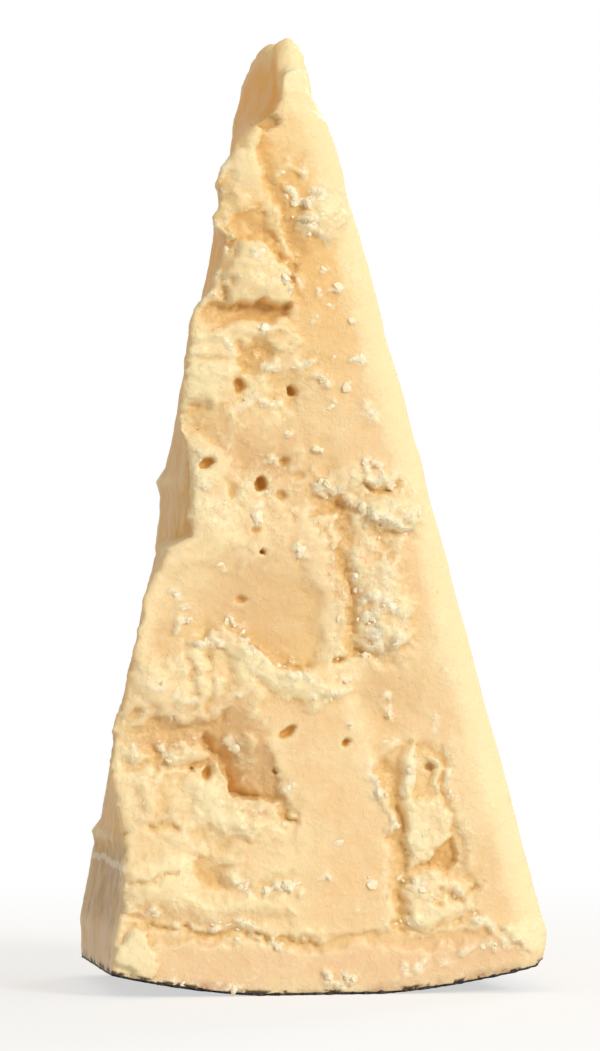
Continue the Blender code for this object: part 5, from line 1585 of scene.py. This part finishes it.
@dataclass(frozen=True)
class CrumbFinish:
    """Dry crumbs and chips, paler than the paste they broke from."""

    name: str
    pale: Colour = (0.96, 0.87, 0.68)
    warm: Colour = (0.945, 0.80, 0.53)

    def make(self, groups: Groups) -> bpy.types.Material:
        """Build the material.

        Args:
            groups: The shared shader groups.

        Returns:
            The material.
        """
        sketch = new_material(self.name)
        place = place_of(sketch)
        patches = groups.cloud(sketch, place, Size=0.0025, Low=0.35, High=0.65)
        colour = sketch.blend(patches, self.pale, self.warm)
        grain = groups.height(sketch, place, Size=0.0005, Pits=0.4)
        bump = sketch.node("ShaderNodeBump", Strength=0.5, Distance=0.0002, Height=grain)
        shader = sketch.node(
            "ShaderNodeBsdfPrincipled", Base_Color=colour, Roughness=0.5,
            Normal=bump.outputs["Normal"], IOR=1.42)
        sketch.node("ShaderNodeOutputMaterial", Surface=shader.outputs["BSDF"])
        return bpy.data.materials[self.name]


@dataclass(frozen=True)
class RindFinish:
    """The thin black rind, with brown and dusty grey where it is rubbed."""

    black: Colour = (0.012, 0.009, 0.007)
    brown: Colour = (0.10, 0.055, 0.03)
    dust: Colour = (0.30, 0.25, 0.19)

    def make(self, groups: Groups) -> bpy.types.Material:
        """Build the material.

        Args:
            groups: The shared shader groups.

        Returns:
            The material.
        """
        sketch = new_material("black_rind")
        place = place_of(sketch)
        rubbed = groups.cloud(sketch, place, Size=0.006, Detail=5.0, Low=0.5, High=0.75)
        dusty = groups.cloud(sketch, place, Size=0.0012, Detail=4.0, Low=0.58, High=0.72)
        colour = sketch.blend(rubbed, self.black, self.brown)
        colour = sketch.blend(sketch.math("MULTIPLY", dusty, 0.5), colour, self.dust)
        grain = groups.height(sketch, place, Size=0.0008, Pits=0.5)
        bump = sketch.node("ShaderNodeBump", Strength=0.8, Distance=0.0002, Height=grain)
        roughness = sketch.ramp(dusty, 0.0, 1.0, 0.5, 0.85)
        shader = sketch.node("ShaderNodeBsdfPrincipled", Base_Color=colour, Roughness=roughness,
                             Normal=bump.outputs["Normal"])
        sketch.node("ShaderNodeOutputMaterial", Surface=shader.outputs["BSDF"])
        return bpy.data.materials["black_rind"]


# ------------------------------
# The pieces
# ------------------------------

@dataclass(frozen=True)
class PasteBody:
    """The chunk's paste: a fine mesh of the broken slice, all in one piece."""

    shape: ChunkShape
    voxel: float = 0.32
    most_triangles: int = 190_000
    lift_over_rind: float = 0.3

    def even_slice(self) -> bpy.types.Mesh:
        """Extrude the slice's outline, weld it shut and remesh it into small even quads.

        Returns:
            The slice's mesh, in millimetres.
        """
        curve = bpy.data.curves.new("slice_outline", "CURVE")
        curve.dimensions, curve.fill_mode = "2D", "BOTH"
        curve.extrude = 0.5 * self.shape.depth
        outline = self.shape.outline()
        spline = curve.splines.new("POLY")
        spline.points.add(len(outline) - 1)
        for point, (x, z) in zip(spline.points, outline):
            point.co = (x, z, 0.0, 1.0)
        spline.use_cyclic_u = True
        mesh = evaluated_mesh(add_object("slice_outline", curve))
        work = bmesh.new()
        work.from_mesh(mesh)
        bmesh.ops.remove_doubles(work, verts=work.verts, dist=0.001)
        bmesh.ops.rotate(work, verts=work.verts, matrix=Matrix.Rotation(0.5 * np.pi, 3, "X"))
        bmesh.ops.recalc_face_normals(work, faces=work.faces)
        work.to_mesh(mesh)
        work.free()
        slab = add_object("slab", mesh)
        remesh = slab.modifiers.new("even quads", "REMESH")
        remesh.mode, remesh.voxel_size = "VOXEL", self.voxel
        return evaluated_mesh(slab)

    def build(self) -> bpy.types.Object:
        """Break the slice up, thin out its triangles and store what the finish reads.

        Returns:
            The paste, at its place in the frame.
        """
        mesh = self.even_slice()
        start = read_points(mesh)
        points, fields = self.shape.break_up(start)
        points[:, 2] += self.lift_over_rind * np.clip(1.0 - fields["rind_gap"], 0.0, 1.0)
        mesh.vertices.foreach_set("co", (points * MM).ravel())
        mesh.update()
        edges, normals = read_edges(mesh), read_normals(mesh)
        # Concavity of the surface, near and far; the finish paints light and shade from it.
        near = np.sum((blurred(points, edges, 15) - points) * normals, axis=1)
        far = np.sum((blurred(points, edges, 190) - points) * normals, axis=1)
        fields["hollow"] = 1.6 * near + far
        sideways = np.abs(blurred(normals, edges, 5)[:, 0])
        at_edge = smooth_step((2.4 - fields.pop("edge_gap")) / 1.2)
        fields["side_cut"] = at_edge * smooth_step((sideways - 0.5) / 0.25)

        rough = add_object("rough_paste", mesh)
        thin = rough.modifiers.new("fewer triangles", "DECIMATE")
        thin.ratio = self.most_triangles / (2 * len(mesh.polygons))
        tree = kdtree.KDTree(len(points))
        for index, place in enumerate((points * MM).tolist()):
            tree.insert(place, index)
        tree.balance()
        mesh = evaluated_mesh(rough)
        nearest = [tree.find(place)[1] for place in read_points(mesh).tolist()]
        for name, values in fields.items():
            add_attribute(mesh, name, values[nearest])
        mesh.shade_smooth()
        return add_object("paste", mesh)


@dataclass(frozen=True)
class RindCoat:
    """The wheel's thin black rind under the chunk, ragged where it was broken off."""

    shape: ChunkShape
    thickness: float = 0.5
    fray_reach: float = 1.5
    columns: int = 240
    rows: int = 70

    def build(self) -> bpy.types.Object:
        """Lay a sheet along the rind line, fray its rim and give it thickness.

        Returns:
            The coat, at its place in the frame.
        """
        line = np.array(self.shape.rind_line()[:-1])
        run = np.concatenate([[0.0], np.cumsum(np.hypot(*np.diff(line, axis=0).T))])
        along = np.linspace(0.0, run[-1], self.columns + 1)
        across = np.interp(along, run, line[:, 0]), np.interp(along, run, line[:, 1])
        half = 0.5 * self.shape.depth
        deep = -half * np.cos(np.linspace(0.0, np.pi, self.rows + 1))
        x, y = np.meshgrid(across[0], deep)
        z = np.broadcast_to(across[1], x.shape)
        flat = np.column_stack([x.ravel(), y.ravel(), z.ravel()])
        points, _ = self.shape.break_up(flat)
        rim = np.exp((np.abs(flat[:, 1]) - half) / self.fray_reach)
        ragged = RIND_FRAY.wander(flat * (1.0, 0.0, 1.0)) - 0.2
        points[:, 1] += np.sign(flat[:, 1]) * rim * ragged

        work = bmesh.new()
        bmesh.ops.create_grid(work, x_segments=self.columns, y_segments=self.rows, size=0.5)
        work.verts.sort(key=lambda vert: round(vert.co.y * self.rows) * 10 + vert.co.x)
        work.verts.index_update()
        for vert, place in zip(work.verts, points.tolist()):
            vert.co = place
        for vert in work.verts:
            vert.co *= MM
        bmesh.ops.recalc_face_normals(work, faces=work.faces)
        if sum(face.normal.z for face in work.faces) > 0:
            bmesh.ops.reverse_faces(work, faces=work.faces)
        mesh = bpy.data.meshes.new("rind_sheet")
        work.to_mesh(mesh)
        work.free()
        sheet = add_object("rind_sheet", mesh)
        wall = sheet.modifiers.new("thickness", "SOLIDIFY")
        wall.thickness, wall.offset = self.thickness * MM, -1.0
        mesh = evaluated_mesh(sheet)
        points = read_points(mesh) / MM
        above = points[:, 2] - self.shape.rim_height(points[:, 0]) > 0.5 * self.thickness
        points[above, 2] += RIND_WAVES.wander(points[above])
        mesh.vertices.foreach_set("co", (points * MM).ravel())
        mesh.shade_smooth()
        mesh.set_sharp_from_angle(angle=np.radians(50.0))
        return add_object("rind_coat", mesh)


@dataclass(frozen=True)
class Chip:
    """One flake that stands out of the face: where, how wide, high and thick, and its turn."""

    place: Point
    width: float
    height: float
    thick: float
    turn: float = 0.0


def chips_along(trails: Sequence[CrumbTrail], spacing: float, seed: int) -> list[Chip]:
    """Strew small flakes along the crumb trails.

    Args:
        trails: The trails.
        spacing: Mean distance between two flakes of the thickest trail.
        seed: Fixes the random draw.

    Returns:
        The flakes.
    """
    draw = np.random.default_rng(seed)
    found = []
    for trail in trails:
        path = np.array(trail.path, float)
        run = np.concatenate([[0.0], np.cumsum(np.hypot(*np.diff(path, axis=0).T))])
        count = int(np.ceil((run[-1] + 2.0 * trail.reach) * trail.amount ** 2 / spacing))
        for where in draw.uniform(0.0, run[-1], count):
            middle = np.array([np.interp(where, run, column) for column in path.T])
            middle += draw.normal(0.0, 0.45 * trail.reach, 2)
            wide = 0.7 + 1.5 * draw.random() ** 2
            size = wide * draw.uniform(0.5, 1.0), wide * draw.uniform(0.25, 0.6)
            found.append(Chip(tuple(middle), wide, *size, draw.uniform(0.0, 360.0)))
    return found


@dataclass(frozen=True)
class ChipSet:
    """The larger flakes and grains that cling to the front face."""

    chips: Sequence[Chip]
    corners: int = 14
    bevel: float = 0.12
    seed: int = 12

    def build(self, surface: bvhtree.BVHTree) -> bpy.types.Object:
        """Set each chip on the paste, half sunk in.

        Args:
            surface: The paste's faces, in metres.

        Returns:
            All the chips as one piece.
        """
        draw = np.random.default_rng(self.seed)
        work = bmesh.new()
        for chip in self.chips:
            x, z = chip.place
            hit, normal, _, _ = surface.ray_cast(Vector((x, -60.0, z)) * MM, Vector((0, 1, 0)))
            if hit is None:
                continue
            facing = (normal + Vector((0, -2.0, 0))).normalized()
            turn = Matrix.Rotation(np.radians(chip.turn), 3, "Z")
            spin = facing.to_track_quat("Z", "Y").to_matrix() @ turn
            balls = draw.normal(size=(self.corners, 3))
            balls /= np.linalg.norm(balls, axis=1)[:, None] * draw.uniform(1.0, 1.25, (self.corners, 1))
            size = np.array([chip.width, chip.height, chip.thick]) / 2
            middle = hit - facing * 0.15 * chip.thick * MM
            verts = [work.verts.new(middle + spin @ Vector(ball) * MM) for ball in (balls * size).tolist()]
            hull = bmesh.ops.convex_hull(work, input=verts)
            bmesh.ops.delete(work, geom=hull["geom_interior"], context="VERTS")
        edges = [edge for edge in work.edges if edge.calc_length() > 3 * self.bevel * MM]
        bmesh.ops.bevel(work, geom=edges, offset=self.bevel * MM, segments=2, affect="EDGES",
                        profile=0.6, clamp_overlap=True)
        bmesh.ops.recalc_face_normals(work, faces=work.faces)
        mesh = bpy.data.meshes.new("paste_chips")
        work.to_mesh(mesh)
        work.free()
        mesh.shade_smooth()
        mesh.set_sharp_from_angle(angle=np.radians(60.0))
        return add_object("paste_chips", mesh)


@dataclass(frozen=True)
class CrumbScatter:
    """Loose crumbs that cling where the paste crumbled, made by Geometry Nodes."""

    name: str
    per_square_metre: float
    smallest: float
    largest: float
    rounding: int
    uneven: float
    seed: int = 7

    def tree(self) -> bpy.types.NodeTree:
        """Build the node tree that scatters crumbs over a mesh.

        Returns:
            The geometry node tree.
        """
        tree = bpy.data.node_groups.new("crumb scatter", "GeometryNodeTree")
        sockets = (("Geometry", "NodeSocketGeometry"), ("Density", "NodeSocketFloat"),
                   ("Smallest", "NodeSocketFloat"), ("Largest", "NodeSocketFloat"),
                   ("Seed", "NodeSocketInt"), ("Finish", "NodeSocketMaterial"))
        for label, kind in sockets:
            tree.interface.new_socket(label, in_out="INPUT", socket_type=kind)
        tree.interface.new_socket("Geometry", in_out="OUTPUT", socket_type="NodeSocketGeometry")
        sketch = NodeSketch(tree)
        source = sketch.node("NodeGroupInput").outputs
        bed = sketch.node("GeometryNodeInputNamedAttribute", {"data_type": "FLOAT"}, Name="crumb_bed")
        density = sketch.math("MULTIPLY", source["Density"], bed.outputs["Attribute"])
        spots = sketch.node("GeometryNodeDistributePointsOnFaces", Mesh=source["Geometry"],
                            Density=density, Seed=source["Seed"])
        nugget = sketch.node("GeometryNodeMeshIcoSphere", Radius=1.0, Subdivisions=self.rounding)
        pick = sketch.node("FunctionNodeRandomValue", {"data_type": "FLOAT"}, Seed=source["Seed"])
        often_small = sketch.math("POWER", pick.outputs[1], 2.2)
        size = sketch.node("ShaderNodeMapRange", Value=often_small, To_Min=source["Smallest"],
                           To_Max=source["Largest"]).outputs["Result"]
        stretch = sketch.node("FunctionNodeRandomValue", {"data_type": "FLOAT_VECTOR"},
                              in_0=(0.6, 0.6, 0.45), in_1=(1.3, 1.3, 1.0), Seed=3)
        scale = sketch.node("ShaderNodeVectorMath", {"operation": "SCALE"}, in_0=stretch.outputs[0],
                            Scale=size)
        turn = sketch.node("FunctionNodeRandomValue", {"data_type": "FLOAT_VECTOR"},
                           in_0=(0.0, 0.0, 0.0), in_1=(6.28, 6.28, 6.28), Seed=5)
        placed = sketch.node("GeometryNodeInstanceOnPoints", Points=spots.outputs["Points"],
                             Instance=nugget.outputs["Mesh"], Rotation=turn.outputs[0],
                             Scale=scale.outputs["Vector"])
        real = sketch.node("GeometryNodeRealizeInstances", Geometry=placed.outputs["Instances"])
        lumps = sketch.node("ShaderNodeTexNoise", Vector=sketch.node("GeometryNodeInputPosition").outputs[0],
                            Scale=2200.0, Detail=2.0)
        shift = sketch.node("ShaderNodeVectorMath", {"operation": "SUBTRACT"},
                            in_0=lumps.outputs["Color"], in_1=(0.5, 0.5, 0.5))
        offset = sketch.node("ShaderNodeVectorMath", {"operation": "SCALE"},
                             in_0=shift.outputs["Vector"], Scale=2.0 * self.uneven * MM)
        uneven = sketch.node("GeometryNodeSetPosition", Geometry=real.outputs["Geometry"],
                             Offset=offset.outputs["Vector"])
        done = sketch.node("GeometryNodeSetMaterial", Geometry=uneven.outputs["Geometry"],
                           Material=source["Finish"])
        sketch.node("NodeGroupOutput", Geometry=done.outputs["Geometry"])
        return tree

    def build(self, paste: bpy.types.Object, finish: bpy.types.Material) -> bpy.types.Object:
        """Scatter the crumbs over a copy of the paste.

        Args:
            paste: The paste, which carries the crumb_bed numbers.
            finish: The crumbs' material.

        Returns:
            All the crumbs as one plain mesh.
        """
        bed = add_object("crumb_bed", paste.data.copy())
        scatter = bed.modifiers.new("crumbs", "NODES")
        scatter.node_group = self.tree()
        values = {"Density": self.per_square_metre, "Smallest": 0.5 * self.smallest * MM,
                  "Largest": 0.5 * self.largest * MM, "Seed": self.seed, "Finish": finish}
        for item in scatter.node_group.interface.items_tree:
            if item.in_out == "INPUT" and item.name in values:
                scatter[item.identifier] = values[item.name]
        mesh = evaluated_mesh(bed)
        mesh.shade_smooth()
        mesh.set_sharp_from_angle(angle=np.radians(40.0))
        return add_object(self.name, mesh)


# ------------------------------
# Studio and camera
# ------------------------------

@dataclass(frozen=True)
class Studio:
    """A plain pale floor that fades out, soft daylight all round, a key light and a back light."""

    floor_radius: float = 0.6
    fade: Point = (0.06, 0.30)
    clear_share: float = 0.6
    key_place: Place = (1.05, -1.65, 0.95)
    lamp_size: float = 0.8
    key_power: float = 28.0
    back_place: Place = (1.15, 1.55, 1.0)
    back_power: float = 12.0
    around: float = 0.6
    aim: Place = (0.0, 0.0, 0.07)

    def floor(self) -> bpy.types.Object:
        """Make the floor, white near the chunk and fading into the background.

        Returns:
            The floor.
        """
        work = bmesh.new()
        bmesh.ops.create_circle(work, cap_ends=True, segments=96, radius=self.floor_radius)
        mesh = bpy.data.meshes.new("floor")
        work.to_mesh(mesh)
        work.free()
        sketch = new_material("pale_floor")
        place = sketch.node("ShaderNodeTexCoord").outputs["Object"]
        away = sketch.node("ShaderNodeVectorMath", {"operation": "LENGTH"}, in_0=place)
        gone = sketch.ramp(away.outputs["Value"], *self.fade, out_low=self.clear_share)
        matt = sketch.node("ShaderNodeBsdfDiffuse", Color=(0.92, 0.91, 0.90, 1))
        clear = sketch.node("ShaderNodeBsdfTransparent")
        mixed = sketch.node("ShaderNodeMixShader", in_0=gone, in_1=matt.outputs[0], in_2=clear.outputs[0])
        sketch.node("ShaderNodeOutputMaterial", Surface=mixed.outputs[0])
        mesh.materials.append(bpy.data.materials["pale_floor"])
        return add_object("floor", mesh)

    def daylight(self) -> None:
        """Light the scene softly from all round, in front of a white background."""
        world = bpy.data.worlds.new("studio")
        world.use_nodes = True
        sketch = NodeSketch(world.node_tree)
        seen = sketch.node("ShaderNodeLightPath").outputs["Is Camera Ray"]
        white = sketch.node("ShaderNodeBackground", Color=(1, 1, 1, 1), Strength=1.0)
        soft = sketch.node("ShaderNodeBackground", Color=(1.0, 0.95, 0.88, 1), Strength=self.around)
        mixed = sketch.node("ShaderNodeMixShader", in_0=seen, in_1=soft.outputs[0], in_2=white.outputs[0])
        sketch.node("ShaderNodeOutputWorld", Surface=mixed.outputs[0])
        bpy.context.scene.world = world
        bpy.context.scene.view_settings.view_transform = "Standard"

    def soft_light(self, name: str, place: Place, power: float) -> None:
        """Hang a large soft light, aimed at the chunk.

        Args:
            name: The lamp's name.
            place: Where it hangs, in metres.
            power: Its power, in watts.
        """
        light = bpy.data.lights.new(name, "AREA")
        light.shape, light.size, light.energy = "DISK", self.lamp_size, power
        light.color = (1.0, 0.985, 0.95)
        lamp = add_object(name, light)
        lamp.location = place
        away = Vector(place) - Vector(self.aim)
        lamp.rotation_euler = away.to_track_quat("Z", "Y").to_euler()


@dataclass(frozen=True)
class PhotoCamera:
    """A level camera a little to the chunk's left, as the photograph was taken."""

    yaw: float = 10.7
    distance: float = 0.95
    aim: Place = (0.001314, 0.0, 0.0743)
    focal_pixels: float = 5855.0
    frame_height: float = 1051.0
    sensor: float = 36.0

    def build(self) -> None:
        """Set the camera up and make it the scene's own."""
        data = bpy.data.cameras.new("photo_camera")
        data.sensor_width = self.sensor
        data.lens = self.focal_pixels / self.frame_height * self.sensor
        camera = add_object("photo_camera", data)
        turn = np.radians(self.yaw)
        ahead = Vector((np.sin(turn), np.cos(turn), 0.0))
        camera.location = Vector(self.aim) - ahead * self.distance
        camera.rotation_euler = Euler((0.5 * np.pi, 0.0, -turn))
        bpy.context.scene.camera = camera


# ------------------------------
# Putting it together
# ------------------------------

CHIPS = (
    Chip((0.3, 80.9), 2.8, 2.4, 1.5, 20),
    Chip((-10.0, 75.6), 2.4, 3.8, 1.6, 20),
    Chip((-3.0, 70.2), 1.9, 3.2, 1.3, -15),
    Chip((-16.2, 68.1), 2.2, 1.2, 1.1, 10),
    Chip((5.7, 66.3), 1.3, 1.3, 1.2, 0),
    Chip((5.9, 64.0), 1.4, 1.2, 1.2, 30),
    Chip((3.0, 24.0), 3.0, 1.4, 1.0, 20),
    Chip((-14.8, 59.2), 1.4, 2.0, 1.2, -20),
    Chip((-5.0, 88.8), 1.7, 1.2, 1.0, 30),
    Chip((-0.3, 86.6), 1.4, 1.0, 0.9, 0),
    Chip((1.6, 93.0), 1.5, 1.0, 0.9, 40),
    Chip((-9.8, 105.6), 1.5, 1.0, 0.9, 10),
    Chip((12.0, 80.5), 2.0, 1.5, 1.2, 0),
    Chip((9.0, 18.0), 1.0, 1.6, 0.8, 0),
)


def dress(piece: bpy.types.Object, finish: bpy.types.Material) -> None:
    """Give a piece its material and make it ride on the chunk.

    Args:
        piece: The piece.
        finish: Its material.
    """
    piece.data.materials.clear()
    piece.data.materials.append(finish)
    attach(piece, "root")
    log.info("%s: %d triangles", piece.name, sum(len(p.vertices) - 2 for p in piece.data.polygons))


def main() -> None:
    """Build the pieces, the studio and the camera in order."""
    logging.basicConfig(level=logging.INFO, format="%(name)s: %(message)s", stream=sys.stdout)
    groups = Groups(cloud_group(), grain_group(), speck_group())
    shape = ChunkShape(
        BrokenFace(Facing.FRONT, FRONT_FEATURES, CRUMBLES, EYES, CRUMB_TRAILS, TONES_AND_SHADE, coarse=0.1),
        BrokenFace(Facing.BACK, BACK_FEATURES, (), (), (), (), coarse=0.55))

    paste = PasteBody(shape).build()
    cover, crumbly, hollow, rind_gap = (
        read_attribute(paste.data, name) for name in ("crumb_cover", "crumbly", "hollow", "rind_gap"))
    clusters = smooth_step(0.3 + CRUMB_CLUSTERS.wander(read_points(paste.data) / MM))
    bed = (cover ** 1.5 + 0.1 * np.clip(crumbly - 0.15, 0.0, 1.0) * clusters) * smooth_step(1.2 - hollow)
    bed *= smooth_step((rind_gap - 0.8) / 0.8)
    faced = smooth_step((np.abs(read_normals(paste.data)[:, 1]) - 0.35) / 0.3)
    add_attribute(paste.data, "crumb_bed", bed * faced)
    dress(paste, PasteFinish().make(groups))
    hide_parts("pecorino_wedge")

    crumb_finish = CrumbFinish("pale_crumb").make(groups)
    for scatter in (CrumbScatter("fine_crumbs", 9.0e5, 0.25, 0.8, 1, uneven=0.35),
                    CrumbScatter("crumb_lumps", 1.8e5, 0.8, 1.8, 2, uneven=0.8, seed=19)):
        dress(scatter.build(paste, crumb_finish), crumb_finish)
    chip_set = ChipSet([*CHIPS, *chips_along(CRUMB_TRAILS, 2.4, 31)])
    surface = bvhtree.BVHTree.FromObject(paste, bpy.context.evaluated_depsgraph_get())
    dress(chip_set.build(surface), crumb_finish)
    dress(RindCoat(shape).build(), RindFinish().make(groups))

    studio = Studio()
    studio.floor()
    studio.daylight()
    studio.soft_light("key", studio.key_place, studio.key_power)
    studio.soft_light("back_light", studio.back_place, studio.back_power)
    PhotoCamera().build()


if __name__ == "__main__":
    main()
